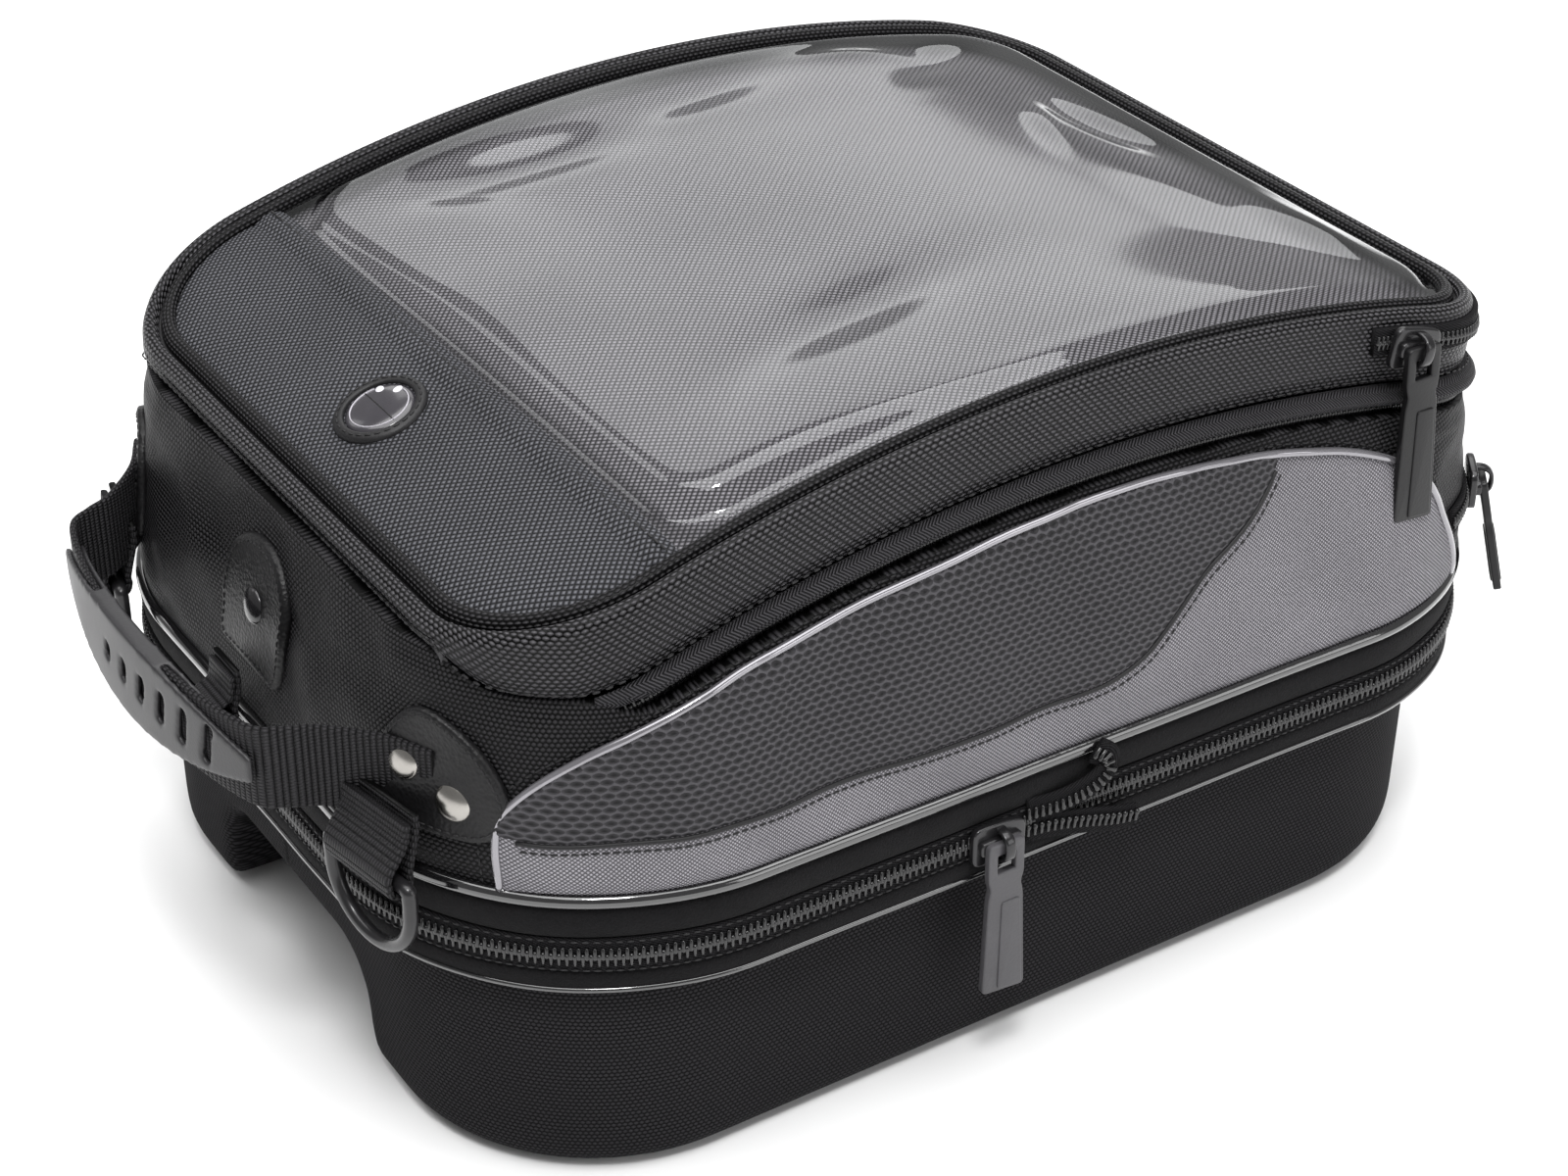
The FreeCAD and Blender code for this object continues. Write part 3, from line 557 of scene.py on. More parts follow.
def felt(name, low, high):
    """Brushed fabric: short fuzz with soft lumps, and no gloss."""
    n = Nodes(name)
    fuzz = n.noise(1500.0, 4.0, 0.7)
    lumps = n.noise(120.0, 3.0)
    n.bump(n.m("MULTIPLY_ADD", lumps, 0.8, fuzz), 0.35)
    fac = n.m("MULTIPLY", fuzz, n.m("MULTIPLY_ADD", lumps, 0.6, 0.7))
    return n.set(Base_Color=n.colour(fac, tone(low), tone(high)), Roughness=0.9,
                 Specular_IOR_Level=0.06, Sheen_Weight=0.05, Sheen_Roughness=0.5)


def web(n, u, v, p):
    """Webbing: cross ribs with a fine line down each."""
    a = n.wave(u, p)
    b = n.wave(n.m("ADD", v, n.m("MULTIPLY", n.m("FLOOR", n.m("DIVIDE", u, p)), 0.5)), 1.0)
    return n.m("MULTIPLY", n.m("POWER", a, 0.6), n.m("MULTIPLY_ADD", b, 0.45, 0.55))


# For each cloth, the first colour is the weave's hollows (painted shade) and the second is its raised
# threads (painted highlight).
M = {
    "base": cloth("base_cloth", lozenges, (1.5, 1.25), 0.006, 0.030, 0.75, 0.2, 0.05),
    "front": cloth("front_cordura", lozenges, (1.7, 1.3), 0.0012, 0.036, 0.45, 0.6, 0.10),
    "grey": cloth("grey_cloth", dots, (0.85,), 0.06, 0.46, 0.6, 0.5, 0.15),
    "insert": cloth("embossed_grip", dimples, (3.1, 1.95), 0.007, 0.068, 0.5, 1.0, 0.12),
    "dotted": cloth("dotted_weave", lozenges, (2.2, 1.25), 0.0006, 0.098, 0.36, 1.0, 0.16),
    "braid": cloth("dark_braid", lozenges, (1.9, 1.2), 0.0008, 0.042, 0.42, 0.9, 0.12),
    "ballistic": cloth("ballistic_dark", dots, (1.5,), blue_grey(0.0015), blue_grey(0.145), 0.42, 0.8, 0.16),
    "pocket": cloth("ballistic_grey", dots, (1.5,), 0.004, 0.32, 0.5, 0.7, 0.12),
    "herring": cloth("herringbone", herring, (1.1,), 0.001, 0.06, 0.5, 0.8, 0.1),
    "tape": cloth("zip_tape", ribs, (0.8,), 0.002, 0.018, 0.7, 0.25, 0.06),
    "webbing": cloth("webbing", web, (1.9,), 0.001, 0.032, 0.5, 1.0, 0.12),
    "lining": cloth("lining", basket, (0.7,), 0.02, 0.06, 0.6, 0.1, sheen=0.1),
    "tunnel": cloth("tunnel_rubber", dots, (3.0,), 0.003, 0.02, 0.6, 0.6, 0.2),
    "felt": felt("edge_felt", 0.0015, 0.014),
    "thread": solid("thread", 0.004, 0.02, 0.5, grain=2500.0, bump=0.05, spec=0.3),
    "coil": solid("zip_coil", 0.003, 0.012, 0.25, grain=900.0, spec=0.6),
    "silver": solid("silver_piping", 0.14, 0.32, 0.12, 0.6, 160.0, 0.06, coat=1.0, spec=0.8),
    "gloss": solid("black_piping", 0.003, 0.012, 0.1, grain=120.0, bump=0.2, coat=0.9, spec=0.9),
    "leather": solid("leather", 0.003, 0.012, 0.42, grain=900.0, bump=0.16, spec=0.25, cells=True),
    "nickel": solid("nickel", (0.26, 0.245, 0.225), (0.46, 0.445, 0.42), 0.24, 1.0, 600.0),
    "rivet_black": solid("rivet_black", 0.006, 0.03, 0.24, 0.4, 600.0, coat=0.4),
    "grip": solid("grip_rubber", 0.010, 0.035, 0.42, grain=1600.0, bump=0.06, spec=0.4),
    "ring": solid("ring_black", 0.006, 0.025, 0.3, 0.2, 300.0, 0.03, coat=0.2, spec=0.4),
    "zip_metal": solid("zip_metal", 0.006, 0.03, 0.25, 0.5, 500.0, coat=0.3),
    "puller": solid("puller_dark", 0.004, 0.012, 0.34, grain=1200.0, bump=0.05, spec=0.3),
    "puller_grey": solid("puller_grey", 0.035, 0.085, 0.4, grain=1200.0, bump=0.05, spec=0.4),
    "port_rubber": solid("port_rubber", 0.004, 0.018, 0.45, grain=1400.0, bump=0.08, spec=0.3),
    "port_gloss": solid("port_gloss", grey(0.02, 2), grey(0.05, 2), 0.2, grain=90.0, bump=0.1, coat=0.4),
    "sign": solid("sign_grey", 0.6, 0.8, 0.35, grain=700.0, bump=0.03),
    "film": film(),
}


def finish_piece(ob, material, body, replaces=()):
    """Material and body of a finished piece; the CAD parts it replaces are hidden."""
    ob.data.materials.clear()
    ob.data.materials.append(material)
    if body:
        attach(ob, body)
    if replaces:
        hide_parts(*replaces)
    return ob


def far_copy(ob, body, replaces=()):
    """The far side's copy of a near piece: the same names, with far for near."""
    name = ob.name.replace("near", "far")
    me = ob.data.copy()
    me.name = name
    bm = bmesh.new()
    bm.from_mesh(me)
    for v in bm.verts:
        v.co.y = -v.co.y
    bmesh.ops.reverse_faces(bm, faces=bm.faces)
    bm.to_mesh(me)
    bm.free()
    other = bpy.data.objects.new(name, me)
    bpy.context.scene.collection.objects.link(other)
    nodes = [node.replace("near", "far") for node in replaces]
    return finish_piece(other, ob.data.materials[0], body.replace("near", "far"), nodes)


def finish_pair(ob, material, body, replaces=()):
    """Finishes a near piece and makes its far copy."""
    finish_piece(ob, material, body, replaces)
    return ob, far_copy(ob, body, replaces)


def remeshed(name, nodes, voxel, rounds, smooth_by=0.5):
    """Copy of CAD nodes with evenly small faces and softened edges."""
    me = bpy.data.meshes.new(name)
    bm = bmesh.new()
    for n in nodes:
        bm.from_mesh(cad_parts[n].data)
    bm.to_mesh(me)
    bm.free()
    ob = bpy.data.objects.new(name, me)
    bpy.context.scene.collection.objects.link(ob)
    r = ob.modifiers.new("r", "REMESH")
    r.mode = "VOXEL"
    r.voxel_size = voxel * MM
    s = ob.modifiers.new("s", "SMOOTH")
    s.factor = smooth_by
    s.iterations = rounds
    dg = bpy.context.evaluated_depsgraph_get()
    me = bpy.data.meshes.new_from_object(ob.evaluated_get(dg))
    ob.modifiers.clear()
    ob.data = me
    ob.data.polygons.foreach_set("use_smooth", [True] * len(ob.data.polygons))
    return ob


def wrap_uv(ob, plan):
    """Weave directions on a remeshed piece: round the bag on its walls, x and y on its flats."""
    me = ob.data
    co = np.zeros(len(me.vertices) * 3, np.float32)
    me.vertices.foreach_get("co", co)
    co = co.reshape(-1, 3) / MM
    x, y, _, _ = plan_point(plan, stations(plan, 1.5))
    s = along(join(x, y))
    centre = (plan[0] + plan[1]) / 2
    turn = np.arctan2(y, x - centre)
    order = np.argsort(turn)
    round_it = np.where(turn[order] < 0, s[order] - s[-1], s[order])
    run = np.interp(np.arctan2(co[:, 1], co[:, 0] - centre), turn[order], round_it)
    corner = np.zeros(len(me.loops), np.int32)
    me.loops.foreach_get("vertex_index", corner)
    normal = np.zeros(len(me.polygons) * 3, np.float32)
    me.polygons.foreach_get("normal", normal)
    sides = np.zeros(len(me.polygons), np.int32)
    me.polygons.foreach_get("loop_total", sides)
    normal = np.repeat(normal.reshape(-1, 3), sides, axis=0)
    flat = np.abs(normal[:, 2]) > 0.75
    u = np.where(flat & (normal[:, 1] != 0.0), co[corner, 0], run[corner])
    v = np.where(flat, co[corner, 1], co[corner, 2])
    layer = me.uv_layers.new(name="weave")
    layer.data.foreach_set("uv", (join(u, v) * MM).astype(np.float32).ravel())


# ---- the upper bag's wall surface ----------------------------------------------------------
def lid_low(x, y):
    """Height of the lid's lower edge."""
    front = HINGE_Z - 6.6 * smooth((np.abs(y) - 86) / 20)
    return np.where(x < 0, np.maximum(arch(x) - 20.0, front), arch(x) - 20.0)


def wall_top(x, y):
    """Height of the wall's upper edge: right under the lid in front, below its zip elsewhere."""
    w = smooth((x + 128) / 14)
    return lerp(lid_low(x, y) - 0.6, arch(x) - 29.0, w)


def wall_plan(z):
    """The wall's plan outline at height z."""
    t = (z - WALL_Z0) / (WALL_Z1 - WALL_Z0)
    return [lerp(a, b, t) for a, b in zip(WAIST, WALL_TOP)]


def wall_point(T, z, off):
    """Points on the wall's pattern surface, off outwards."""
    x, y, _, _ = plan_point(wall_plan(z), T, off)
    return join(x, y, z)


WALL_ROWS = 22
wall_T = stations(WAIST, 5.0)
WALL_HIGH = wall_top(*plan_point(wall_plan(np.full(len(wall_T), 155.0)), wall_T)[:2])


def wall_height(T, z):
    """Share of the way up the wall."""
    return (z - WALL_Z0) / (np.interp(T, wall_T, WALL_HIGH) - WALL_Z0)


def simulate_wall():
    """How far the sewn fabric stands off its pattern surface: cloth held at its seams, lightly stuffed."""
    H = np.linspace(0, 1, WALL_ROWS)
    TT, HH = np.meshgrid(wall_T[:-1], H, indexing="ij")
    Z = WALL_Z0 + HH * (np.interp(TT, wall_T, WALL_HIGH) - WALL_Z0)
    P = wall_point(TT, Z, 0.0)
    calm = 1.5 * np.sin(np.pi * HH) ** 0.8
    ob = grid("wall_cloth", P, surface_uv(P, True), closed_u=True)
    pin = ob.vertex_groups.new(name="pin")
    held = [i * WALL_ROWS + j for i in range(P.shape[0]) for j in (0, WALL_ROWS - 1)]
    pin.add(held, 1.0, "REPLACE")
    mod = ob.modifiers.new("cloth", "CLOTH")
    st = mod.settings
    st.quality = 6
    st.mass = 0.25
    st.tension_stiffness = 25
    st.compression_stiffness = 25
    st.shear_stiffness = 8
    st.bending_stiffness = 0.6
    st.vertex_group_mass = "pin"
    st.use_pressure = True
    st.uniform_pressure_force = 1.2
    st.shrink_min = -0.035
    st.effector_weights.gravity = 0
    mod.collision_settings.use_self_collision = False
    for f in range(1, 21):
        bpy.context.scene.frame_set(f)
    dg = bpy.context.evaluated_depsgraph_get()
    ev = ob.evaluated_get(dg).to_mesh()
    co = np.zeros(len(ev.vertices) * 3, np.float32)
    ev.vertices.foreach_get("co", co)
    Q = co.reshape(P.shape) / MM
    _, _, nx, ny = plan_point(WAIST, TT)
    d = (Q[..., 0] - P[..., 0]) * nx + (Q[..., 1] - P[..., 1]) * ny
    bpy.context.scene.frame_set(1)
    bpy.data.objects.remove(ob)
    d = 0.5 * (d + np.roll(d[::-1], 1, 0))
    d = 0.5 * d + 0.25 * (np.roll(d, 1, 0) + np.roll(d, -1, 0))
    return H, np.clip(d, -1.5, 4.5) * 0.4 + calm * 0.6


WALL_H, WALL_D = simulate_wall()
WALL_D = np.concatenate([WALL_D, WALL_D[:1]], 0)


def puff(T, z):
    """The simulated stand-off at T, z."""
    h = np.clip(wall_height(T, z), 0, 1)
    i = np.interp(T, wall_T, np.arange(len(wall_T)))
    j = h * (WALL_ROWS - 1)
    i0 = np.clip(np.floor(i).astype(int), 0, len(wall_T) - 2)
    j0 = np.clip(np.floor(j).astype(int), 0, WALL_ROWS - 2)
    a, b = i - i0, j - j0
    D = WALL_D
    return ((D[i0, j0] * (1 - a) + D[i0 + 1, j0] * a) * (1 - b)
            + (D[i0, j0 + 1] * (1 - a) + D[i0 + 1, j0 + 1] * a) * b)


def on_wall(T, z, off=0.0):
    """Points on the sewn fabric, off outwards."""
    return wall_point(T, z, off + puff(T, z))


def wall_normal(T, z):
    _, _, nx, ny = plan_point(wall_plan(z), T)
    return unit(join(nx, ny, 0.18 + 0 * nx))


def wall_sheets(T0, T1):
    """Outer and inner face of one sewn wall, with fine creases outside."""
    tucked = 3.2
    TT, HH = np.meshgrid(stations(WAIST, 2.2, T0, T1), np.linspace(0, 1, 45), indexing="ij")
    Z = WALL_Z0 - tucked + HH * (np.interp(TT, wall_T, WALL_HIGH) - WALL_Z0 + tucked)
    crease = 0.45 * np.sin(TT * 9 + 3 * np.sin(HH * 5)) + 0.35 * np.sin(TT * 23 + HH * 9)
    crease *= np.sin(np.pi * HH) ** 2
    front = np.exp(-((TT - 4.5) / 0.9) ** 4)
    outer = on_wall(TT, Z, crease * (0.25 + 0.75 * front))
    return outer, wall_point(TT, Z, -4.4)


def make_walls():
    """Front and rear wall; the rear one is in two halves."""
    for name, T0, T1 in (("front_wall", 2.45, 6.55), ("rear_wall_a", 6.55, 9.0),
                         ("rear_wall_b", 0.0, 2.45)):
        outer, inner = wall_sheets(T0, T1)
        ob = shell(name, outer, inner, surface_uv(outer))
        node = "front_panel" if name == "front_wall" else "rear_panel"
        finish_piece(ob, M["front"], "bag", [node])


# the side panel's outline and the S seam on it, as x and z
SIDE_POINTS = [(-147.5, 97.1), (-144.0, 121.5), (-122.0, 141.0), (-70.0, 157.0), (24.0, 167.2),
               (90.0, 160.5), (129.5, 146.0), (148.0, 121.5), (159.0, 97.1)]
SEAM_POINTS = [(-160, 113.0), (-90, 113.2), (0, 113.2), (18, 113.8), (28, 115.6), (37, 119.5),
               (47, 128.0), (57, 137.0), (66, 142.5), (76, 149.0), (84, 158.0), (88, 170.0)]
side_curve = rounded_path(SIDE_POINTS, 24)
seam_curve = rounded_path(SEAM_POINTS, 16)


def near_side(x, z, off):
    """Points on the near side's fabric at x and z, off outwards."""
    return on_wall(near_T(wall_plan(z), x), z, off)


def near_side_normal(x, z):
    return wall_normal(near_T(wall_plan(z), x), z)


def seam_height(x):
    return np.interp(x, seam_curve[:, 0], seam_curve[:, 1])


def side_shell(name, X, Z, lift, depth):
    """Thin solid on the near side, over points X, Z."""
    return shell(name, near_side(X, Z, lift), near_side(X, Z, depth), join(X, Z))


def make_side_cloth(edge):
    """Grey panel under the whole outline."""
    rows = np.linspace(0, 1, 40)[None, :]
    share = along(edge) / along(edge)[-1]
    low_x = lerp(edge[0, 0], edge[-1, 0], smooth(share) * 0.35 + share * 0.65)
    X = lerp(low_x[:, None], edge[:, :1], rows)
    Z = lerp(np.full((len(edge), 1), 97.2), edge[:, 1:], rows)
    rim = np.minimum(1.0, (1 - rows) * 14) * np.minimum(1.0, rows * 20 + 0.15) * np.ones_like(X)
    ob = side_shell("near_side_cloth", X, Z, 0.35 + 0.9 * rim, -1.5)
    for piece in finish_pair(ob, M["grey"], "bag", ["near_side_panel"]):
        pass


def make_side_grip(edge):
    """Dark insert in front of and above the S seam; gives the x of its two ends."""
    keep = (edge[:, 1] > seam_height(edge[:, 0]) + 0.3) & (edge[:, 0] < 100)
    e = even(edge[keep], 1.6)
    lo, hi = e[0, 0], e[-1, 0]
    share = along(e) / along(e)[-1]
    low_x = lerp(lo, hi, smooth(share) * 0.3 + share * 0.7)
    rows = np.linspace(0, 1, 44)[None, :]
    X = lerp(low_x[:, None], e[:, :1], rows)
    Z = lerp(seam_height(low_x)[:, None], e[:, 1:], rows)
    from_seam = np.minimum(np.abs(Z - seam_height(X)), np.abs(X - hi) * 0.6 + 1.2 * (1 - rows))
    lift = 1.7 * (1 - np.exp(-from_seam / 1.4)) * np.minimum(1.0, (1 - rows) * 16 + 0.2)
    ob = side_shell("near_side_grip", X, Z, 0.7 + lift, -1.0)
    finish_pair(ob, M["insert"], "bag", ["near_side_insert"])
    return lo, hi


def make_side_seam(lo, hi):
    """The tucked S seam and its stitches."""
    inside = (seam_curve[:, 0] > lo + 0.5) & (seam_curve[:, 0] < hi - 0.5)
    x, z = even(seam_curve[inside], 1.5).T
    ob = sweep("near_seam_cord", near_side(x, z - 0.2, 1.3), near_side_normal(x, z), circle(0.7, 8))
    finish_pair(ob, M["thread"], "bag")
    x, z = x + 1.2, z - 2.6
    line = near_side(x, z, 1.35)
    far_copy(stitches("near_seam_stitches", line, near_side_normal(x, z), "bag", 2.6, 0.8), "bag")


def make_side_piping():
    """Silver piping round the panel, with stitches outside it."""
    edge = even(side_curve, 1.5)
    x, z = edge.T
    ob = sweep("near_piping", near_side(x, z, 1.0), near_side_normal(x, z), circle(1.2, 14))
    finish_pair(ob, M["silver"], "bag", ["near_side_piping"])
    panel_middle = np.array([10.0, 115.0])
    x, z = (edge + unit(edge - panel_middle) * 3.2).T
    keep = (z < 164) & (z > 98)
    x, z = x[keep], z[keep]
    line = near_side(x, z, 0.1)
    far_copy(stitches("near_piping_stitches_outer", line, near_side_normal(x, z), "bag", 3.0, 0.8), "bag")


def make_side():
    edge = even(side_curve, 2.2)
    make_side_cloth(edge)
    make_side_seam(*make_side_grip(edge))
    make_side_piping()


# ---- bands round the bag -------------------------------------------------------------------
def band(name, plan, profile, step=3.0, wobble=0.0):
    """A profile of (offset, height) carried round a plan outline."""
    T = stations(plan, step)[:-1]
    prof = np.asarray(profile, float)
    x, y, nx, ny = plan_point(plan, T)
    off = prof[None, :, 0] + wobble * (np.sin(T * 7.3) + np.sin(T * 17.1 + 1.0))[:, None]
    P = join(x[:, None] + nx[:, None] * off, y[:, None] + ny[:, None] * off, prof[None, :, 1])
    return tube(name, P, True)


def rounded_box(off0, off1, z0, z1, r=1.0, n=4, bulge=0.0):
    """Closed profile with round corners; bulge swells its outer face."""
    pts = []
    for cx, cz, a0 in ((off1 - r, z0 + r, -90), (off1 - r, z1 - r, 0), (off0 + r, z1 - r, 90),
                       (off0 + r, z0 + r, 180)):
        for i in range(n + 1):
            a = math.radians(a0 + 90 * i / n)
            pts.append((cx + r * math.cos(a), cz + r * math.sin(a)))
    p = np.array(pts)
    if bulge:
        mid, half = (z0 + z1) / 2, (z1 - z0) / 2
        face = np.linspace(z0 + r, z1 - r, 7)[1:-1]
        extra = join(np.full(len(face), off1), face)
        p = np.concatenate([p[: n + 1], extra, p[n + 1:]])
        on = p[:, 0] > (off0 + off1) / 2
        p[on, 0] += bulge * (1 - ((p[on, 1] - mid) / half) ** 2)
    return p


TOOTH = bar_shape([(-2.9, 0.25), (-2.65, 0.55), (-0.9, 0.58), (-0.3, 0.80), (0.45, 0.84), (0.9, 0.35)],
                  8)


def teeth(name, origins, run, up, out, body, row):
    """One row of a coil zip; row -1 is below the middle line and +1 above."""
    ob = copies(name, *TOOTH, origins, np.stack([run, up * (-row), out], 1))
    return finish_piece(ob, M["coil"], body)


def waist_frames(T, off, z):
    """Points at an offset from the waist's outline at height z, with their directions."""
    x, y, nx, ny = plan_point(WAIST, T, off)
    out = join(nx, ny, 0.0)
    up = np.broadcast_to(UP, out.shape)
    return join(x, y, z), np.cross(up, out), up, out


def make_bands(*rows):
    """Bands round the waist: name, section, step, wobble, look, body, slot and replaced nodes."""
    for name, section, step, wobble, look, body, slot, nodes in rows:
        finish_piece(band(name, WAIST, section, step, wobble), M[look], body, nodes)


def make_rim_and_tapes():
    """The base's rim with its glossy lip, and the tapes of both zip rows."""
    rim = rounded_box(-11.5, 0.4, 65.7, 73.0, 1.2, bulge=0.9)
    lip = circle(0.9, 8) + np.array([0.9, 66.7])
    low, high = [rounded_box(-2.5, 1.3, z0, z1, 0.5) for z0, z1 in ((72.8, 77.8), (78.4, 83.2))]
    make_bands(("rim_edge", rim, 3.0, 0.12, "felt", "base", "edge_felt", ["base_rim"]),
               ("rim_lip", lip, 2.5, 0.1, "gloss", "base", "black_piping", []),
               ("lower_tape", low, 3.0, 0.0, "tape", "base", "zip_coil", ["waist_zip_lower"]),
               ("upper_tape", high, 3.0, 0.0, "tape", "bag", "zip_coil", ["waist_zip_upper"]))


def make_edge_and_cord():
    """Brushed edge tape above the zip, with the glossy cord on top of it."""
    edge = rounded_box(-4.5, 0.6, 83.1, 93.4, 1.4, bulge=1.1)
    cord = circle(2.15, 14) + np.array([0.45, 95.2])
    make_bands(("edge_tape", edge, 3.0, 0.15, "felt", "bag", "edge_felt", ["waist_band"]),
               ("waist_cord", cord, 2.5, 0.08, "gloss", "bag", "black_piping", ["waist_piping"]))


def make_waist_zip():
    """Teeth and stitches of both zip rows; the teeth leave room for the slider."""
    T = distance_T(WAIST, 0.0, 9.0, TOOTH_PITCH)
    x, y, _, _ = plan_point(WAIST, T)
    T = T[(np.abs(x + 14) > 7.0) | (y > -100)]
    shifted = T + np.gradient(T) / 2
    teeth("teeth_lower", *waist_frames(T, 1.7, WAIST_ZIP_Z), "base", -1)
    teeth("teeth_upper", *waist_frames(shifted, 1.7, WAIST_ZIP_Z), "bag", 1)
    for name, z, body in (("stitch_lower", 73.6, "base"), ("stitch_upper", 82.7, "bag")):
        o, _, _, out = waist_frames(stations(WAIST, 3.0), 1.55, z)
        stitches(name, o, out, body, 2.9, 0.75)


def make_waist_tails():
    """Loose tape ends beside the slider."""
    upper = [(-3, -138.9, 82), (6, -140.6, 82.5), (15, -141.6, 84.5), (21, -142.2, 88.5),
             (21.5, -141.6, 92.5), (18, -140.9, 95.5)]
    lower = [(-3, -138.9, 75.5), (6, -140.4, 75.2), (15, -141.8, 73.6), (24, -142.8, 71.4),
             (31, -143.2, 70.2)]
    out = -Y_AXIS
    for name, points, body, row in (("upper_tail", upper, "bag", 1), ("lower_tail", lower, "base", -1)):
        path = rounded_path(points, 8)
        ob = sweep(name, path, np.cross(tangents(path), out), strap_section(8.0, 1.2))
        finish_piece(ob, M["tape"], body, ["zip_tail_" + name[:5]])
        p = even(path, TOOTH_PITCH)
        t = tangents(p)
        up = unit(np.cross(t, out))
        up = up * np.sign(up[:, 2:] + 1e-6)
        teeth(name + "_teeth", p + out * 1.1 - up * 1.5 * row, t, up, np.cross(t, up), body, row)


# ---- lid -------------------------------------------------------------------------------------
def lid_band(name, profile):
    """Profile of (offset, share up the lid's side, rise) carried round the lid."""
    prof = np.asarray(profile, float)
    x, y, nx, ny = plan_point(LID, stations(LID, 2.5)[:-1])
    X = x[:, None] + nx[:, None] * prof[None, :, 0]
    Y = y[:, None] + ny[:, None] * prof[None, :, 0]
    Z = lerp(lid_low(x, y)[:, None], arch(X), prof[None, :, 1]) + prof[None, :, 2]
    return tube(name, join(X, Y, Z), True)


def lid_line(T, off, rise):
    """Points at an offset from the lid's groove, rise above the arch, with their directions."""
    x, y, nx, ny = plan_point(LID, T, off)
    slope = -(x - ARCH_X) / np.sqrt(ARCH_R ** 2 - (x - ARCH_X) ** 2)
    out = join(nx, ny, 0.0)
    run = unit(join(-ny, nx, -ny * slope))
    return join(x, y, arch(x) + rise), run, unit(np.cross(out, run)), out


def lid_strip(name, T, section, body, node):
    """Zip tape of a given section that follows the lid's outline and its arch."""
    x, y, nx, ny = [c[:, None] for c in plan_point(LID, T)]
    off, rise = section.T[:, None]
    ob = tube(name, join(x + nx * off, y + ny * off, arch(x) + rise))
    return finish_piece(ob, M["tape"], body, [node])


def inside_grid(off, x_from, x_to, nx=80, ny=60, plan=LID):
    """Grid over a plan's inside, the lid's unless told: x, y, and distance in from the outline."""
    x0, x1, half, rf, rr = plan
    x0, x1, half, rf, rr = x0 - off, x1 + off, half + off, rf + off, rr + off
    x = lerp(max(x0, x_from), min(x1, x_to), 0.5 - 0.5 * np.cos(np.linspace(0, np.pi, nx)))
    into_front = np.clip(x0 + rf - x, 0, None)
    into_rear = np.clip(x - x1 + rr, 0, None)
    inset = rf - np.sqrt(np.maximum(rf ** 2 - into_front ** 2, 0))
    inset += rr - np.sqrt(np.maximum(rr ** 2 - into_rear ** 2, 0))
    v = np.sin(np.linspace(-np.pi / 2, np.pi / 2, ny))
    X = np.repeat(x[:, None], ny, 1)
    Y = (half - inset)[:, None] * v
    d = np.minimum(half - np.abs(Y), np.minimum(X - x0, x1 - X))
    for radius, into in ((rf, into_front[:, None]), (rr, into_rear[:, None])):
        aside = np.clip(np.abs(Y) - (half - radius), 0, None)
        d = np.where((into > 0) & (aside > 0), radius - np.hypot(into, aside), d)
    return X, Y, np.maximum(d, 0)


def slab(name, X, Y, face, back):
    """Thin solid between two heights over a grid."""
    return shell(name, join(X, Y, face), join(X, Y, back), join(X, Y))


# soft dents of the window: place, half lengths, turn in degrees, and depth
FILM_DENTS = (
    (118.0, 84.0, 20.0, 7.0, 30.0, -2.2), (92.0, 92.0, 16.0, 5.0, -10.0, 1.4),
    (138.0, 20.0, 8.0, 24.0, 10.0, -2.4), (122.0, 30.0, 5.0, 18.0, -25.0, 1.7),
    (30.0, 88.0, 30.0, 10.0, 10.0, -2.6), (-30.0, 80.0, 34.0, 12.0, -12.0, -3.2),
    (-4.0, -54.0, 40.0, 13.0, 12.0, -3.2), (-62.0, 60.0, 16.0, 26.0, 15.0, 1.6),
    (148.0, -66.0, 9.0, 22.0, 0.0, 1.4),
)
# the lid's side in section: offset from the groove, share up the side, rise
LID_SIDE = (
    (1.0, 0.0, 0.4), (3.8, 0.0, 0.2), (5.0, 0.08, 0.2), (5.7, 0.3, 0), (6.0, 0.5, 0), (6.0, 0.72, 0),
    (5.8, 0.9, 0), (5.9, 1.0, -0.6), (5.8, 1.0, 0.8), (5.2, 1.0, 2.1), (4.1, 1.0, 2.9), (2.9, 1.0, 2.9),
    (1.9, 1.0, 2.2), (1.2, 1.0, 0.9), (0.9, 1.0, -0.8), (0.8, 1.0, -3.0), (0.6, 0.5, 0.0),
)


def make_lid_side():
    """The lid's padded side, its braided roll and the dark groove beside it."""
    ob = lid_band("lid_side", LID_SIDE)
    finish_piece(ob, M["dotted"], "lid", ["lid_wall", "outer_roll"])
    ob = lid_band("lid_roll", [(-1.9 + a, 1.0, 0.7 + b) for a, b in circle(2.2, 14, 1.15)])
    finish_piece(ob, M["braid"], "lid", ["inner_roll"])
    o, _, _, out = lid_line(stations(LID, 2.5)[:-1], 0.55, -0.9)
    ob = sweep("groove_tape", o, out, circle(0.9, 6), closed=True)
    finish_piece(ob, M["thread"], "lid")


def make_lid_stitches():
    """Stitch line along the lid's lower edge."""
    x, y, nx, ny = plan_point(LID, stations(LID, 3.0), 6.5)
    line = join(x, y, lid_low(x, y) + 2.6)
    stitches("lid_edge_stitches", line, join(nx, ny, 0.0), "lid", 3.4, 0.8)


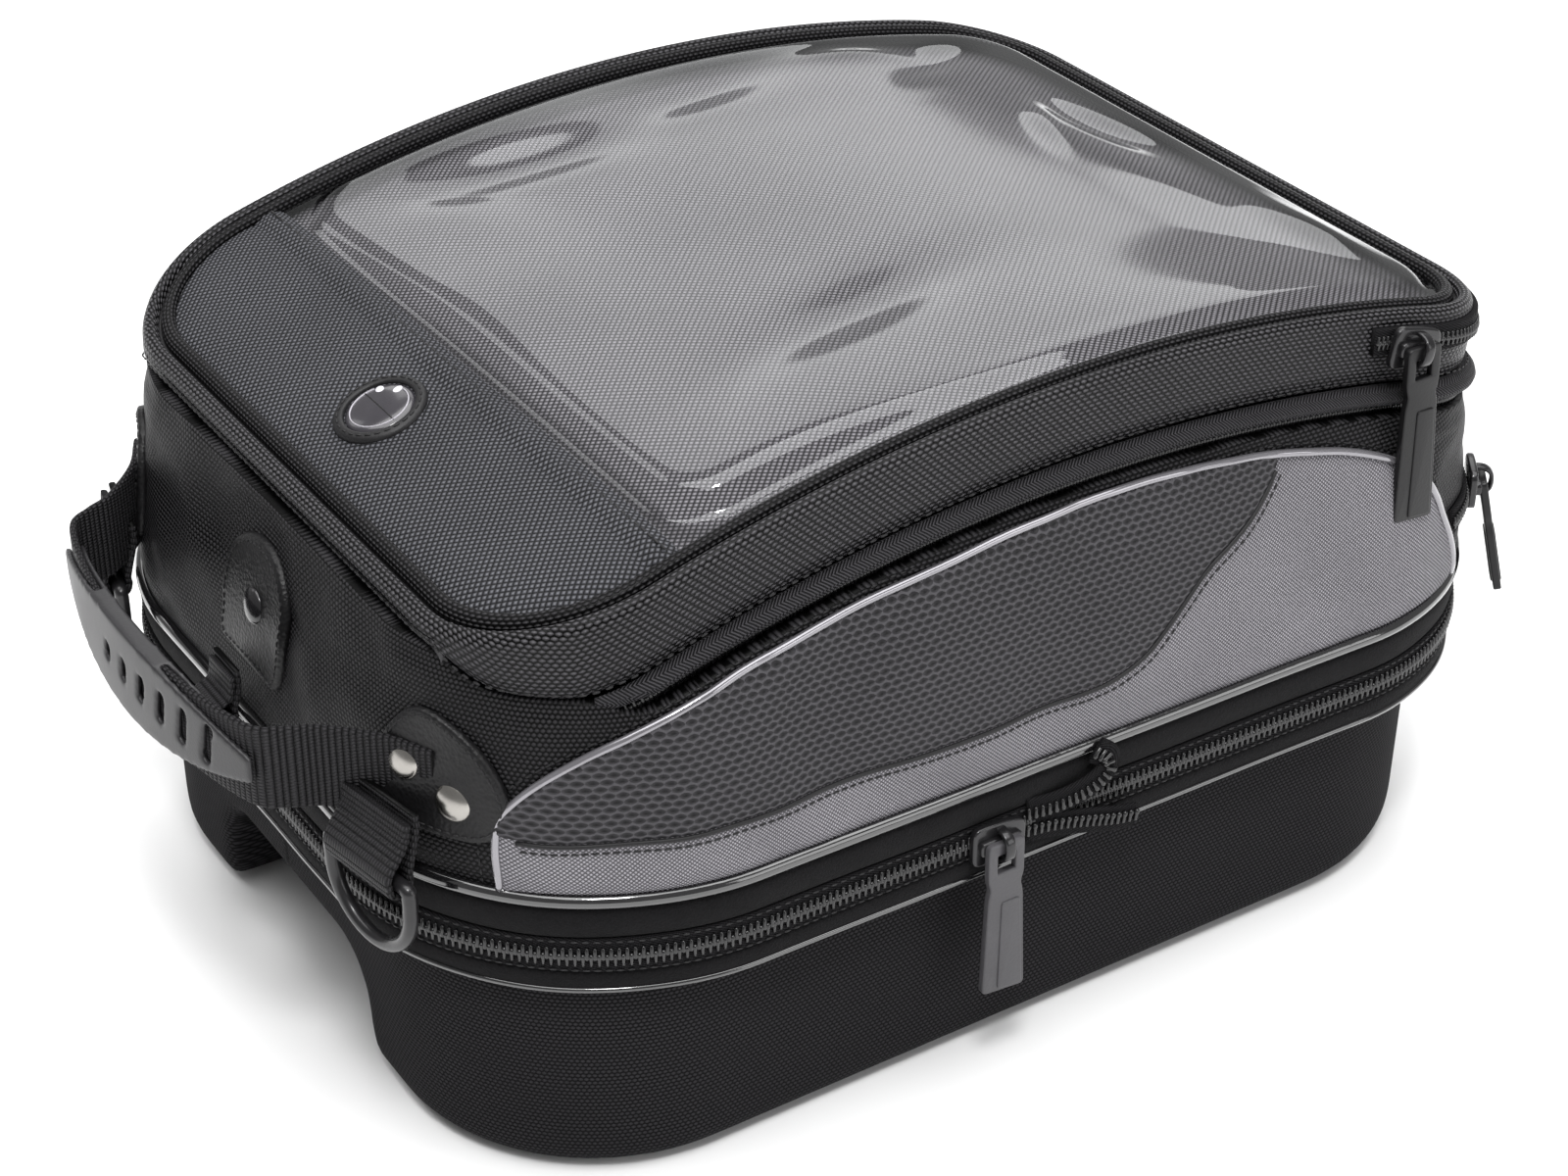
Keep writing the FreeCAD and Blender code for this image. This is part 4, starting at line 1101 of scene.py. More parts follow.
def make_front_band():
    """Ballistic cloth over the lid's front, its rear edge folded over the window's edge."""
    X, Y, d = inside_grid(-4.2, -300, SEAM_X + 1.0, 60, 90)
    fold = 1.3 * np.exp(-((X - SEAM_X + 3.0) / 3.2) ** 2)
    tuck = 0.5 * np.exp(-((X - SEAM_X + 7.2) / 1.3) ** 2)
    round_port = 0.6 * np.exp(-((np.hypot(X - PORT_X, Y) - 15) / 3.5) ** 2)
    waves = 0.25 * np.sin(Y / 17 + 1) * np.sin(X / 11)
    lift = 1.6 * (1 - np.exp(-d / 5)) + fold - tuck - round_port + waves
    outer = join(X, Y, arch(X) + 0.6 + lift)
    ob = shell("front_band_cloth", outer, join(X, Y, arch(X) - 4.0), join(Y, X))
    finish_piece(ob, M["ballistic"], "lid", ["front_band"])
    x = SEAM_X - 2.2
    line = join(x, np.linspace(-113.0, 113.0, 160), arch(x) + 3.15)
    stitches("seam_stitches_0", line, [-0.2, 0, 1], "lid", 3.2)


def make_pocket():
    """Cloth under the window."""
    X, Y, _ = inside_grid(0.3, SEAM_X - 3, 300, 60, 60)
    level = arch(X) + 0.4 * np.sin(X / 31) * np.sin(Y / 27)
    ob = slab("pocket_cloth", X, Y, level - 5.2, level - 8.0)
    finish_piece(ob, M["pocket"], "lid", ["pocket_floor", "lid_foam"])


def make_lining():
    """The lid's lining, level where it passes over the hinge."""
    X, Y, _ = inside_grid(0.4, -143, 300, 40, 40)
    low = arch(X) - 18.5
    low = np.where(X < -125, np.maximum(low, 160.0), low)
    ob = slab("lid_lining_cloth", X, Y, low, np.maximum(low + 1.2, arch(X) - 12))
    finish_piece(ob, M["lining"], "lid", ["lid_lining"])


def make_window():
    """Clear window, standing up from its sewn edge, with ripples and soft dents."""
    X, Y, d = inside_grid(-3.6, SEAM_X - 6, 300, 260, 220)
    from_seam = X - SEAM_X + 1.0
    bend = 22.0
    corner = bend - np.hypot(np.clip(bend - d, 0, None), np.clip(bend - from_seam, 0, None))
    in_corner = (d < bend) & (from_seam < bend)
    from_edge = np.clip(np.where(in_corner, corner, np.minimum(d, from_seam)), 0, None)
    at_front = smooth((-X + 20) / 110) * smooth((-Y + 95) / 90)
    puffed = 3.0 + 3.6 * at_front
    foot = 2.0 + 1.8 * at_front
    up = puffed * (1 - np.exp(-(np.clip(from_edge - foot, 0, None) / 4.4) ** 2.4))
    sag = (1.6 + 1.4 * at_front) * smooth((from_edge - 14) / 50)
    waves = 0.45 * np.sin(X / 38 + 0.4 * np.sin(Y / 30)) * np.sin(Y / 33 + 0.8)
    waves += 0.25 * np.sin(X / 17 + Y / 41)
    waves += 0.9 * np.sin(Y / 21 + 1.2) * np.exp(-((X + 62) / 26) ** 2)
    for cx, cy, lx, ly, turn, deep in FILM_DENTS:
        c, s = math.cos(math.radians(turn)), math.sin(math.radians(turn))
        a = ((X - cx) * c + (Y - cy) * s) / lx
        b = ((Y - cy) * c - (X - cx) * s) / ly
        waves += deep * np.exp(-a ** 2 - b ** 2)
    rise = 0.6 + up - sag + waves * smooth((from_edge - 5) / 12)
    outer = join(X, Y, arch(X) + rise)
    ob = grid("map_film", outer, surface_uv(outer))
    finish_piece(ob, M["film"], "lid", ["map_window"])


def make_lid_zip():
    """Corded welt and coil zip under the lid, round the sides and the rear."""
    ring = circle(1.0, 14)
    for tag, a, b in round_rear(LID, -123.0):
        T = stations(LID, 2.2, a, b)
        x, y, nx, ny = [c[:, None] for c in plan_point(LID, T)]
        swell = 1 + 0.28 * smooth((x - 60) / 100)
        swell = swell * (smooth((x + 123) / 16) * 0.9 + 0.1)
        off = 5.2 + 3.1 * ring[:, 0] * swell
        rise = 2.9 * ring[:, 1] * (0.9 + 0.1 * swell) - 23.0
        ob = tube(f"welt_{tag}", join(x + nx * off, y + ny * off, arch(x) + rise))
        finish_piece(ob, M["herring"], "lid", ["lid_welt"])
        for row, z0, z1, body in (("upper", -27.6, -25.4, "lid"), ("lower", -30.6, -28.0, "bag")):
            section = rounded_box(0.8, 3.9, z0, z1, 0.5)
            lid_strip(f"lid_tape_{row}_{tag}", T, section, body, "lid_zip_" + row)
        T = distance_T(LID, a, b, TOOTH_PITCH)
        teeth(f"lid_teeth_upper_{tag}", *lid_line(T, 4.1, -LID_ZIP_DROP), "lid", 1)
        shifted = T + np.gradient(T) / 2
        teeth(f"lid_teeth_lower_{tag}", *lid_line(shifted, 4.1, -LID_ZIP_DROP), "bag", -1)


def make_map_zip():
    """The map pocket's zip round the rear end of the lid."""
    for tag, a, b in round_rear(LID, 118.0):
        section = rounded_box(5.5, 7.5, -9.6, -1.4, 0.7)
        lid_strip(f"map_tape_{tag}", stations(LID, 2.2, a, b), section, "lid", "map_zip")
        T = distance_T(LID, a, b, 1.7)
        for row, place, shift in ((1, "upper", 0.0), (-1, "lower", 0.5)):
            o, run, up, out = lid_line(T + np.gradient(T) * shift, 7.7, -5.5)
            teeth(f"map_teeth_{tag}_{place}", o, run * 0.85, up * 0.72, out * 0.85, "lid", row)


def make_hinge():
    """Fabric that joins lid and bag along the hinge."""
    Y, Z = np.meshgrid(np.linspace(-92, 92, 60), np.linspace(151.0, 166.0, 24), indexing="ij")
    outer = join(-151.6 + 0.9 * smooth((Z - 159) / 5), Y, Z)
    ob = shell("hinge_fold", outer, outer + 1.2 * X_AXIS, join(Y, Z))
    finish_piece(ob, M["lining"], None)
    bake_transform(ob)


def make_port():
    """Cable port: flange, disc, stitch ring, slit and sign."""
    _, to_rear, off_lid = arch_frame(PORT_X)
    centre = np.array([PORT_X, 0, arch(PORT_X)])
    frames = np.stack([to_rear, Y_AXIS, off_lid])[None]
    flange = [(10.3, -4), (10.3, 2.7), (10.6, 3.1), (11.2, 3.3), (12.4, 3.1), (13.2, 2.6),
              (13.6, 1.9), (13.6, 0.9), (13.0, 0.4), (11.8, 0.2), (11.4, -4)]
    ob = copies("port_flange", *turned(flange, 56, True), centre[None], frames)
    finish_piece(ob, M["port_rubber"], "lid", ["port_ring"])
    disc = [(0.01, -1.5), (10.1, -1.5), (10.15, 1.7), (9.9, 2.3), (9.0, 2.8), (6.0, 3.25), (3.0, 3.4),
            (0.01, 3.45)]
    ob = copies("port_cap", *turned(disc, 56), centre[None], frames)
    finish_piece(ob, M["port_gloss"], "lid", ["port_disc"])

    def on_port(angle, radius, height):
        """Points over the port at angles from the rear, a radius and a height."""
        flat = np.outer(np.cos(angle) * radius, to_rear) + np.outer(np.sin(angle) * radius, Y_AXIS)
        return centre + flat + np.outer(height + 0 * angle, off_lid)

    stitches("port_stitches", on_port(np.linspace(0, 2 * math.pi, 90), 12.0, 3.25), off_lid, "lid", 2.7,
             0.75)
    # slit, and a plain headphone outline
    s = np.linspace(-8.6, 8.6, 20)
    path = on_port(np.full(20, math.pi / 2), s, 3.45 - (np.abs(s) / 9.6) ** 2.6 * 0.75)
    ob = sweep("port_slit", path, off_lid, circle(0.22, 6))
    finish_piece(ob, M["thread"], "lid")
    path = on_port(np.radians(np.linspace(70, 366, 70)), 8.4, 2.93)
    section = strap_section(0.3, 0.5)[:, ::-1] * np.array([1, 1.2])
    ob = sweep("port_sign_band", path, off_lid, section)
    finish_piece(ob, M["sign"], "lid")
    pts = np.linspace(-1, 1, 11)
    fade = np.sqrt(np.maximum(1.02 - pts ** 2, 0.03))
    for tag, turn in (("near", 16), ("far", 60)):
        turn = np.full(11, math.radians(turn))
        across = on_port(turn + math.pi / 2, 0.25 * pts, 0.0) - centre
        path = on_port(turn, 7.4 + 1.6 * pts, 2.98 - 0.12 * pts) + across
        section = circle(1.25, 14) * np.array([0.3, 1])
        ob = sweep(f"port_sign_{tag}", path, off_lid, section, scale=fade)
        finish_piece(ob, M["sign"], "lid")


# ---- front hardware --------------------------------------------------------------------------
def local_T(z, y0):
    """T on the front wall at height z nearest to y0, near side."""
    T = np.linspace(4.0, 6.5, 600)
    p = wall_point(T, np.full(600, float(z)), 0)
    return float(T[np.argmin(np.abs(p[:, 1] - y0))])


def wall_spot(y0, z0, a, b, off):
    """Point a along the wall to the near side and b up from (y0, z0), with its normal."""
    a, b = np.asarray(a, float), np.asarray(b, float)
    T = np.linspace(3.0, 6.9, 900)
    s = along(wall_point(T, np.full(900, float(z0)), 0)[:, :2])
    at = np.interp(np.interp(local_T(z0, y0), T, s) + a, s, T)
    z = z0 + b * 0.985 + 0 * at
    return on_wall(at, z, off), wall_normal(at, z)


def patch(name, y0, z0, outline, thick):
    """Leather patch that follows the wall, its edge rounded; gives its stitch line as well."""
    lift = 0.6
    rim = rounded_path(outline, 8, closed=True)
    c = rim.mean(0)
    r = np.concatenate([np.linspace(0.02, 0.9, 12), [0.95, 0.98, 1.0]])[:, None]
    A = c[0] + (rim[None, :, 0] - c[0]) * r
    B = c[1] + (rim[None, :, 1] - c[1]) * r
    round_edge = np.where(r < 0.93, 1.0, np.sqrt(np.clip(1 - ((r - 0.93) / 0.07) ** 2, 0, 1)))
    crown = 0.35 * (1 - r ** 2)
    wall, off_wall = wall_spot(y0, z0, A, B, 0.0)
    top = wall + off_wall * (lift + thick * round_edge + crown)[..., None]
    P = np.concatenate([top, (wall - off_wall * 0.6)[::-1]], 0)
    UV = np.concatenate([join(A, B), join(A, B)[::-1]], 0)
    ob = grid(name, P, np.concatenate([UV, UV[:, :1]], 1), False, True, caps=True)
    inset = c + (rim - c) * (1 - 2.1 / np.maximum(np.linalg.norm(rim - c, axis=1), 1))[:, None]
    inset = np.concatenate([inset, inset[:1]])
    wall, off_wall = wall_spot(y0, z0, inset[:, 0], inset[:, 1], 0.0)
    return ob, wall + off_wall * (lift + thick + 0.15), off_wall


NEAR_PATCH = [(-19.4, -2.0), (-17.6, 8.5), (-12.0, 15.6), (-4.0, 17.0), (6.0, 13.6), (14.5, 7.0),
              (20.0, -2.5), (19.6, -10.5), (14.5, -16.2), (3.0, -17.4), (-9.0, -16.6), (-17.8, -14.0)]
SHIELD = [(-19.0, -15.5), (-19.5, -8.0), (-19.6, 2.0), (-16.5, 12.0), (-9.0, 18.8), (1.0, 20.8),
          (10.5, 17.6), (17.5, 9.0), (19.4, -2.0), (17.6, -16.0), (10.0, -17.0), (-10.0, -16.6)]
SHIELD_AT = (-2.0, 128.0)
RIVET = [(0.01, -1.0), (6.1, -1.0), (6.25, 0.0), (5.9, 0.7), (5.0, 1.35), (3.4, 2.05), (1.6, 2.4),
         (0.01, 2.5)]
RIVET_SCALE = 0.86


def rivet_at(name, p, n):
    """Domed rivet with its back on p, facing n."""
    x = unit(np.cross(UP, n))
    frame_of_it = np.stack([x, np.cross(n, x), n]) * RIVET_SCALE
    return copies(name, *turned(RIVET, 32), p[None], frame_of_it[None])


def make_patches():
    """Leather patches with their stitches and rivets."""
    at = (-PATCH_Y, PATCH_Z)
    ob, line, out = patch("near_leather", *at, NEAR_PATCH, 1.5)
    finish_pair(ob, M["leather"], "bag", ["near_patch"])
    far_copy(stitches("near_leather_stitches", line, out, "bag", 2.5, 0.7), "bag")
    for tag, a, b in (("a", -10.4, 0.4), ("b", 5.7, -6.4)):
        p, n = wall_spot(*at, a, b, 0.0)
        ob = rivet_at(f"near_rivet_{tag}", p + n * 2.0, n)
        finish_pair(ob, M["nickel"], "bag", ["patch_rivets"])
    ob, line, out = patch("centre_leather", *SHIELD_AT, SHIELD, 1.5)
    finish_piece(ob, M["leather"], "bag", ["centre_patch"])
    stitches("centre_leather_stitches", line, out, "bag", 2.5, 0.7)
    p, n = wall_spot(*SHIELD_AT, 0.5, 1.5, 0.0)
    ob = rivet_at("centre_stud", p + n * 2.1, n)
    finish_piece(ob, M["rivet_black"], "bag", ["centre_rivet"])


def loop_path(back, bar_r, z_top, bar_z, gap):
    """Side view (out, z) of webbing that drops, rounds a bar and comes back up."""
    pts = [(0.4, z_top), (0.3, z_top - 5), (back - bar_r, bar_z + 3.0)]
    for a in (180, 225, 270, 315, 360):
        t = math.radians(a)
        pts.append((back + bar_r * math.cos(t), bar_z + bar_r * math.sin(t)))
    pts += [(back + bar_r - 0.2, bar_z + 4), (gap + 1.2, z_top - 8), (gap, z_top - 2)]
    return rounded_path(pts, 6)


def near_bar():
    """Middle of the near ring's bar, the bar's direction, and the direction off the wall."""
    low, high = [np.array(c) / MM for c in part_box("near_ring")]
    turn = math.radians(RING_TURN)
    tang = np.array([math.sin(turn), -math.cos(turn), 0.0])
    out = np.array([-math.cos(turn), -math.sin(turn), 0.0])
    return np.array([(low[0] + high[0]) / 2, -RING_BAR_Y, RING_BAR_Z]), tang, out


def make_loops():
    """Webbing loops that carry the rings."""
    bar, tang, out = near_bar()
    z = RING_BAR_Z
    root = bar - out * 6.4
    side = loop_path(6.4, 3.3, z + 19.0, z, 3.0)
    path = root + side[:, :1] * out + UP * (side[:, 1:] - z)
    ob = sweep("near_loop", path, tang, strap_section(28.0, 2.0))
    finish_pair(ob, M["webbing"], "bag", ["near_ring_webbing"])
    across = np.linspace(-12.5, 12.5, 12)
    for k, up in enumerate((7.5, 10.0)):
        off = np.interp(z + up, side[-14:, 1], side[-14:, 0]) + 1.2
        line = root + out * off + UP * up + across[:, None] * tang
        far_copy(stitches(f"near_loop_stitches_{k}", line, out, "bag", 2.6, 0.8), "bag")
    bar = np.array(FRONT_BAR)
    side = loop_path(4.6, 2.7, bar[2] + 14.5, bar[2], 1.8)
    path = bar + (4.6 - side[:, :1]) * X_AXIS + UP * (side[:, 1:] - bar[2])
    ob = sweep("centre_loop", path, Y_AXIS, strap_section(15.0, 1.6))
    finish_piece(ob, M["webbing"], "bag", ["centre_ring_webbing"])


def make_rings():
    """Two large D-rings and the small rounded ring."""
    bar, tang, _ = near_bar()
    h, deep = 16.8, 24.0
    half = [(h - 2, 0), (h, -1.6), (h, -7)]
    arc = [(h * math.cos(t), h - deep - h * math.sin(t)) for t in np.linspace(0.15, math.pi - 0.15, 16)]
    flat = [(0, 0)] + half + arc + [(-a, b) for a, b in half[::-1]]
    flat = rounded_path(flat, 6, closed=True)
    path = bar + flat[:, :1] * tang + flat[:, 1:] * UP
    ob = sweep("near_dring", path, np.cross(tang, UP), circle(2.05, 14), closed=True)
    finish_pair(ob, M["ring"], "near_ring", ["near_ring"])
    half = [(5, 0), (10, -0.3), (11, -2.5), (11, -12), (9.6, -17.6), (5, -20)]
    flat = [(-5, 0)] + half + [(-a, b) for a, b in half[:0:-1]]
    flat = rounded_path(flat, 8, closed=True)
    path = np.array(FRONT_BAR) + flat[:, :1] * Y_AXIS + flat[:, 1:] * UP
    ob = sweep("front_dring", path, X_AXIS, circle(1.75, 14), closed=True)
    finish_piece(ob, M["ring"], "front_ring", ["front_ring"])


def make_handle():
    """Moulded grip on its webbing strap."""
    ob = remeshed("grip", ["handle_grip"], 0.7, 9, 0.6)
    finish_piece(ob, M["grip"], "handle", ["handle_grip"])
    # webbing from under one patch, through the grip, to under the other
    end, _ = wall_spot(-PATCH_Y, HANDLE_Z, 0.0, 0.0, 0.9)
    mid, _ = wall_spot(-PATCH_Y, HANDLE_Z, -15.0, 0.0, 2.0)
    free = [(-176.0, -68.5), (-183.5, -64.5), (-190.5, -59.0), (-195.6, -40.0), (-198.2, -20.0)]
    half = [end, mid] + [np.array([x, y, HANDLE_Z]) for x, y in free]
    other = [p * np.array([1, -1, 1]) for p in half[::-1]]
    path = rounded_path(half + [np.array([-199.0, 0, HANDLE_Z])] + other, 10)
    ob = sweep("handle_strap", path, UP, strap_section(25.0, 2.0))
    finish_piece(ob, M["webbing"], None, ["handle_webbing"])
    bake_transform(ob)


# ---- sliders and pullers -----------------------------------------------------------------------
def plate(name, outlines, depth, bevel):
    """Flat part cut from outlines (the first outer, the rest holes), with rounded edges."""
    cu = bpy.data.curves.new(name, "CURVE")
    cu.dimensions = "2D"
    cu.fill_mode = "BOTH"
    cu.extrude = (depth / 2 - bevel) * MM
    cu.bevel_depth = bevel * MM
    cu.bevel_resolution = 3
    for pts in outlines:
        sp = cu.splines.new("POLY")
        sp.points.add(len(pts) - 1)
        for p, (a, b) in zip(sp.points, pts):
            p.co = (a * MM, b * MM, 0, 1)
        sp.use_cyclic_u = True
    ob = bpy.data.objects.new(name, cu)
    bpy.context.scene.collection.objects.link(ob)
    bpy.context.view_layer.update()
    dg = bpy.context.evaluated_depsgraph_get()
    me = bpy.data.meshes.new_from_object(ob.evaluated_get(dg))
    bpy.data.objects.remove(ob)
    bm = bmesh.new()
    bm.from_mesh(me)
    bmesh.ops.remove_doubles(bm, verts=bm.verts, dist=1e-6)
    bmesh.ops.recalc_face_normals(bm, faces=bm.faces)
    bm.to_mesh(me)
    bm.free()
    return me


def rounded_outline(pts, r, n=5):
    """Polygon with each corner rounded."""
    pts = [np.array(p, float) for p in pts]
    out = []
    for i, p in enumerate(pts):
        a, b = pts[i - 1], pts[(i + 1) % len(pts)]
        da, db = unit(a - p), unit(b - p)
        rr = min(r, np.linalg.norm(a - p) * 0.45, np.linalg.norm(b - p) * 0.45)
        s, e = p + da * rr, p + db * rr
        for t in np.linspace(0, 1, n):
            out.append(tuple((1 - t) ** 2 * s + 2 * t * (1 - t) * p + t * t * e))
    return out


def placed_mesh(name, meshes, origin, x_dir, y_dir, z_dir, material, body):
    """Joins meshes drawn in (x across, y along, z out), puts them in place and finishes the piece."""
    R = np.stack([x_dir, y_dir, z_dir])
    verts, faces = [], []
    for me, shift in meshes:
        base = len(verts)
        verts += [origin + (np.array(v.co) / MM + shift) @ R for v in me.vertices]
        faces += [[i + base for i in p.vertices] for p in me.polygons]
    ob = make_object(name, np.array(verts), faces)
    ob.data.set_sharp_from_angle(angle=math.radians(40))
    return finish_piece(ob, material, body, [body])


def make_slider(tag, spot, run, up, out):
    """Slider on a zip at spot: plate, rail and bridge, with their length along the zip."""
    shape = [(-5.6, -8.0), (5.6, -8.0), (5.2, 2.0), (4.2, 8.0), (-4.2, 8.0), (-5.2, 2.0)]
    wide_plate = plate("s", [rounded_outline(shape, 2.4)], 2.4, 0.7)
    shape = [(-1.7, -6.0), (1.7, -6.0), (1.7, 6.5), (-1.7, 6.5)]
    rail = plate("r", [rounded_outline(shape, 1.2)], 2.2, 0.6)
    parts = [(wide_plate, np.array([0, 0, 1.7])), (rail, np.array([0, -0.5, 3.4]))]
    body = f"{tag}_slider"
    placed_mesh(f"{tag}_slider_body", parts, spot, up, run, out, M["zip_metal"], body)
    arcs = rounded_path([(-4.4, 2.4), (-4.0, 5.6), (-2.0, 7.6), (2.0, 7.6), (4.0, 5.6), (4.4, 2.4)], 6)
    path = spot + arcs[:, :1] * up + arcs[:, 1:] * out
    ob = sweep(f"{tag}_slider_bridge", path, run, strap_section(3.2, 1.3))
    finish_piece(ob, M["zip_metal"], body)


def make_puller(tag, spot, out, length, material, lean):
    """Puller that hangs from the bridge: eye frame, waist, and a long flat tab with raised facets."""
    angle = math.radians(lean)
    down = unit(-UP * math.cos(angle) + out * math.sin(angle))
    side = unit(np.cross(down, out))
    shape = [(-5.4, -1.4), (5.4, -1.4), (5.4, 9.6), (4.5, 12.6), (5.3, 16.5), (6.5, length - 1.2),
             (-6.5, length), (-5.3, 16.5), (-4.5, 12.6), (-5.4, 9.6)]
    hole = rounded_outline([(-3.4, 1.3), (3.4, 1.3), (3.4, 8.2), (-3.4, 8.2)], 0.9)
    main = plate("p", [rounded_outline(shape, 1.1), hole[::-1]], 2.4, 0.5)
    shape = [(-4.2, 18.0), (1.2, 18.0), (1.9, length - 1.6), (-5.5, length - 0.9)]
    facet = plate("b", [rounded_outline(shape, 0.7)], 0.8, 0.35)
    parts = [(main, np.zeros(3)), (facet, UP * 1.25), (facet, UP * -1.25)]
    placed_mesh(f"{tag}_puller_tab", parts, spot + out * 5.2, side, down, np.cross(side, down), material,
                f"{tag}_puller")


def slider_and_puller(tag, spot, run, up, out, length, look, lean):
    make_slider(tag, np.array(spot), run, up, out)
    make_puller(tag, np.array(spot), out, length, M[look], lean)


def make_sliders():
    waist = (-14.0, -139.3, WAIST_ZIP_Z)
    slider_and_puller("waist", waist, X_AXIS, UP, -Y_AXIS, 48.0, "puller_grey", 1.0)
    _, run, up = arch_frame(MAP_SLIDER_AT[0])
    slider_and_puller("map", MAP_SLIDER_AT, run, up, -Y_AXIS, 52.0, "puller", 3.0)
    x, y = LID_SLIDER_AT
    lean, run, up = arch_frame(x)
    spot = (x, y, arch(x) - LID_ZIP_DROP / math.cos(lean))
    slider_and_puller("lid", spot, run, up, Y_AXIS, 44.0, "puller", 10.0)
    c, s = math.cos(POCKET_TURN), math.sin(POCKET_TURN)
    run, out = np.array([c, s, 0]), np.array([s, -c, 0])
    _, x1, half, _, radius = wall_plan(POCKET_Z)
    spot = np.array([x1 - radius, radius - half, POCKET_Z]) + out * (radius + 2.6)
    slider_and_puller("pocket", spot, run, UP, out, 36.0, "puller", 13.0)


def make_rear_pocket():
    """The rear pocket's zip: its tape and its two rows of teeth."""
    pitch = 1.8
    section = rounded_box(0.0, 1.3, POCKET_Z - 4.2, POCKET_Z + 4.2, 0.5)
    for tag, a, b in round_rear(wall_plan(POCKET_Z), 153.0):
        T = stations(WAIST, 2.2, a, b)[:, None] + 0 * section[None, :, 0]
        P = on_wall(T, section[None, :, 1] + 0 * T, section[None, :, 0] + 0 * T)
        finish_piece(tube(f"pocket_tape_{tag}", P), M["tape"], "bag", ["rear_pocket_zip"])
        dense = stations(WAIST, 1.0, a, b)
        s = along(on_wall(dense, np.full(len(dense), POCKET_Z), 1.6))
        for row, place, shift in ((1, "upper", 0.5), (-1, "lower", 1.0)):
            T = np.interp((np.arange(int(s[-1] / pitch)) + shift) * pitch, s, dense)
            o = on_wall(T, np.full(len(T), POCKET_Z), 1.6)
            _, _, nx, ny = plan_point(wall_plan(POCKET_Z), T)
            out = join(nx, ny, 0.0)
            run = np.cross(UP, out) * 0.9
            up = np.broadcast_to(UP * 0.75, o.shape)
            teeth(f"pocket_teeth_{tag}_{place}", o, run, up, out * 0.9, "bag", row)


def make_base():
    """Moulded base and the sheet in its tunnel."""
    ob = remeshed("base_moulding", ["base_shell"], 2.2, 9, 0.6)
    wrap_uv(ob, BASE)
    finish_piece(ob, M["base"], "base", ["base_shell"])
    # rubber sheet that follows the tunnel's ceiling and its two bends
    X, Y = np.meshgrid(np.linspace(-139.8, 159.8, 60), np.linspace(-39.8, 39.8, 41), indexing="ij")
    half_flat, bend_z = 28.0, 18.0
    aside = np.maximum(np.abs(Y) - half_flat, 0.0)
    lower, upper = [bend_z + np.sqrt(r ** 2 - aside ** 2) for r in (16.2, 17.6)]
    finish_piece(slab("tunnel_sheet", X, Y, lower, upper), M["tunnel"], "base",
                 ["tunnel_mat"])


def make_floor():
    """Bag floor, slightly uneven, with a raised edge."""
    level = 86.0
    X, Y, d = inside_grid(-0.4, -300, 300, 60, 50, FLOOR)
    top = level + 0.35 * np.sin(X / 27) * np.sin(Y / 31 + 0.7) * smooth(d / 20)
    finish_piece(slab("floor_cloth", X, Y, top, level - 2.6), M["lining"], "bag", ["bag_floor"])
    ob = band("floor_edge", FLOOR, rounded_box(-2.0, 0.6, level, level + 2.2, 0.8))
    finish_piece(ob, M["lining"], "bag")


make_walls()
make_side()
make_rim_and_tapes()
make_waist_zip()
make_edge_and_cord()
make_waist_tails()
make_lid_side()
make_front_band()
make_pocket()
make_window()
make_lining()
make_lid_zip()
make_map_zip()
make_lid_stitches()
make_hinge()
make_port()
make_patches()
make_loops()
make_rings()
make_handle()
make_sliders()
make_rear_pocket()
make_base()
make_floor()


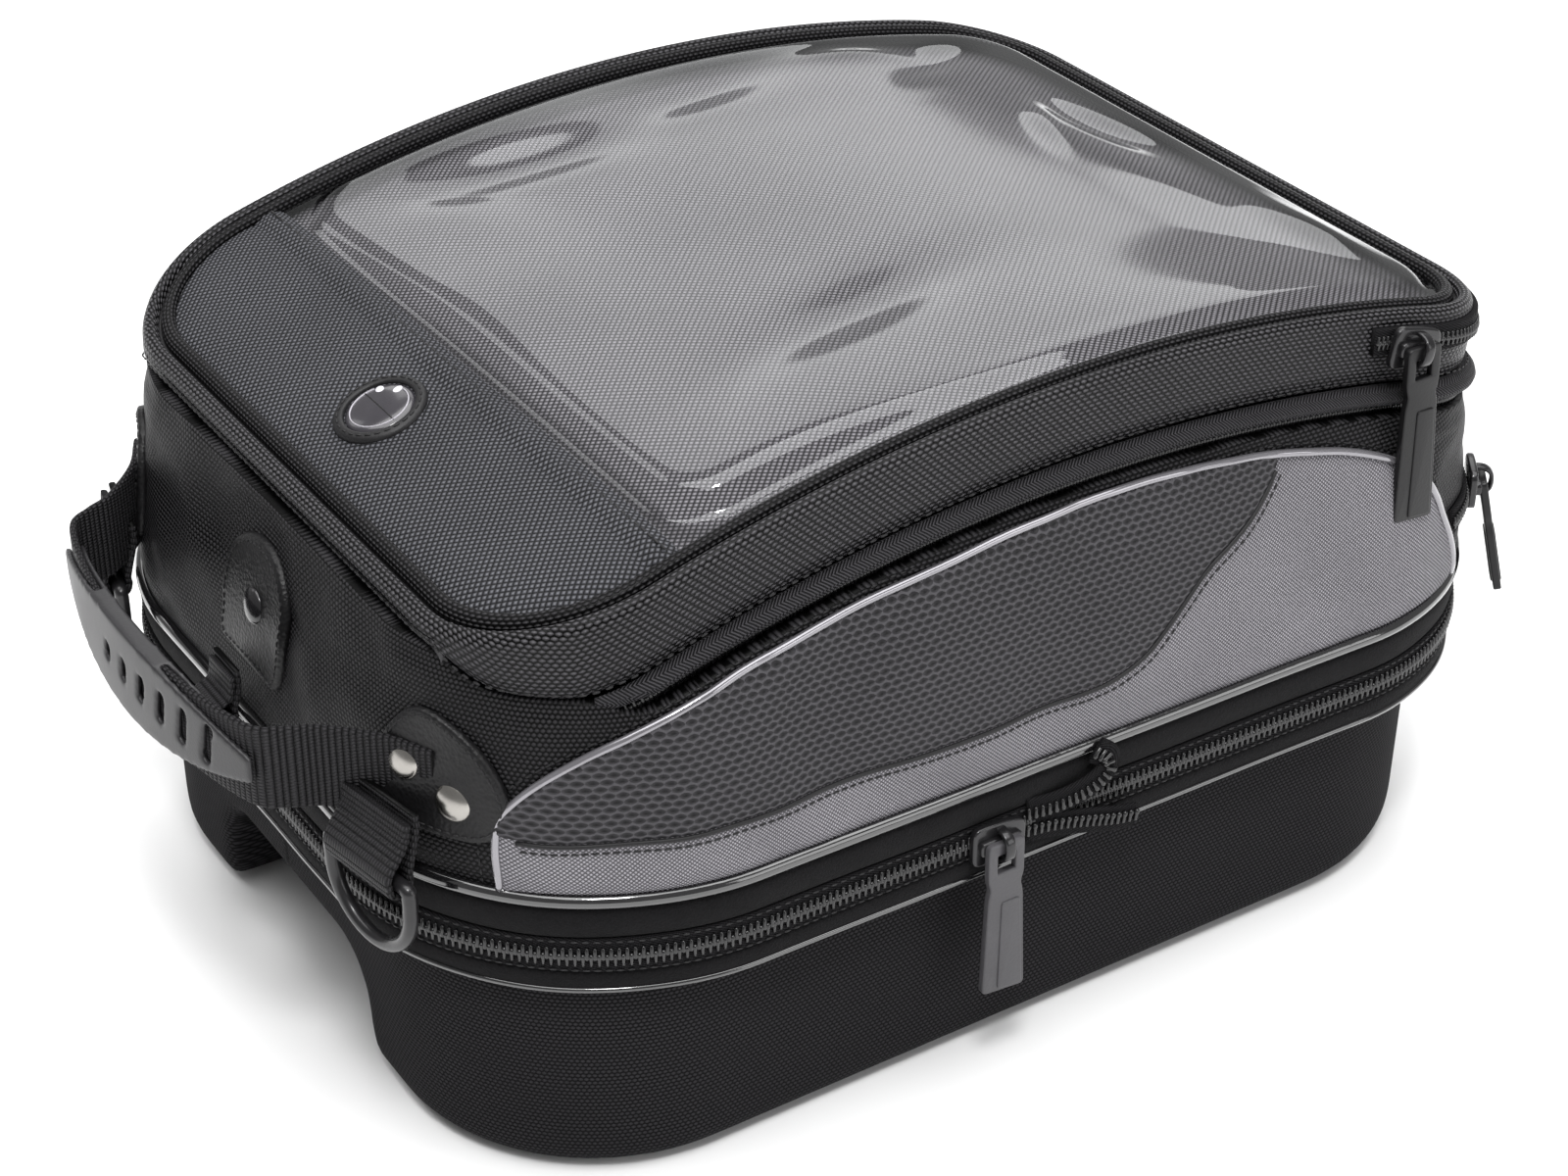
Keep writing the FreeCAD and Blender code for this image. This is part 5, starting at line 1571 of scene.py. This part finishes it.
# ---- floor, light and camera -------------------------------------------------------------------
def area_light(name, at, look, size, power, size_y=None):
    data = bpy.data.lights.new(name, "AREA")
    data.energy = power
    data.size = size
    if size_y:
        data.shape = "RECTANGLE"
        data.size_y = size_y
    ob = bpy.data.objects.new(name, data)
    ob.location = at
    ob.rotation_euler = (Vector(look) - Vector(at)).to_track_quat("-Z", "Y").to_euler()
    bpy.context.scene.collection.objects.link(ob)


def make_stage():
    """Floor, world, lights and camera."""
    me = bpy.data.meshes.new("floor")
    corners = [(-6, -6), (6, -6), (6, 6), (-6, 6)]
    me.from_pydata([(x, y, -0.0005) for x, y in corners], [], [(0, 1, 2, 3)])
    floor = bpy.data.objects.new("floor", me)
    bpy.context.scene.collection.objects.link(floor)
    n = Nodes("floor")
    grain = n.noise(3.0, 3.0)
    n.set(Base_Color=n.colour(grain, (0.90, 0.90, 0.90), (0.93, 0.93, 0.93)), Roughness=0.9,
          Specular_IOR_Level=0.1)
    me.materials.append(n.mat)
    world = bpy.data.worlds.new("studio")
    world.use_nodes = True
    background = world.node_tree.nodes["Background"]
    background.inputs["Color"].default_value = (1, 1, 1, 1)
    background.inputs["Strength"].default_value = 0.32
    bpy.context.scene.world = world
    area_light("overhead", (0, 0, 3.0), (0, 0, 0), 3.6, 150)
    area_light("softbox", (0.85, 1.35, 1.10), (0, 0, 0.1), 1.5, 6.3, 1.0)
    area_light("strip", (-0.78, 1.40, 1.15), (-0.09, -0.05, 0.2), 0.5, 1.4, 0.6)
    area_light("rim", (-0.5, -0.8, 1.7), (0, 0, 0.1), 0.3, 12)
    area_light("side", (1.0, -2.0, 0.9), (0, 0, 0.1), 1.2, 12)
    cam = bpy.data.cameras.new("camera")
    cam.sensor_width = 36.0
    cam.lens = 72.82
    ob = bpy.data.objects.new("camera", cam)
    eye, look = Vector((-0.4327, -0.6893, 0.5894)), Vector((0.0076, -0.0004, 0.0764))
    ob.location = eye
    ob.rotation_euler = (look - eye).to_track_quat("-Z", "Y").to_euler()
    bpy.context.scene.collection.objects.link(ob)
    bpy.context.scene.camera = ob
    bpy.context.scene.view_settings.view_transform = "Standard"


make_stage()
bpy.context.view_layer.update()
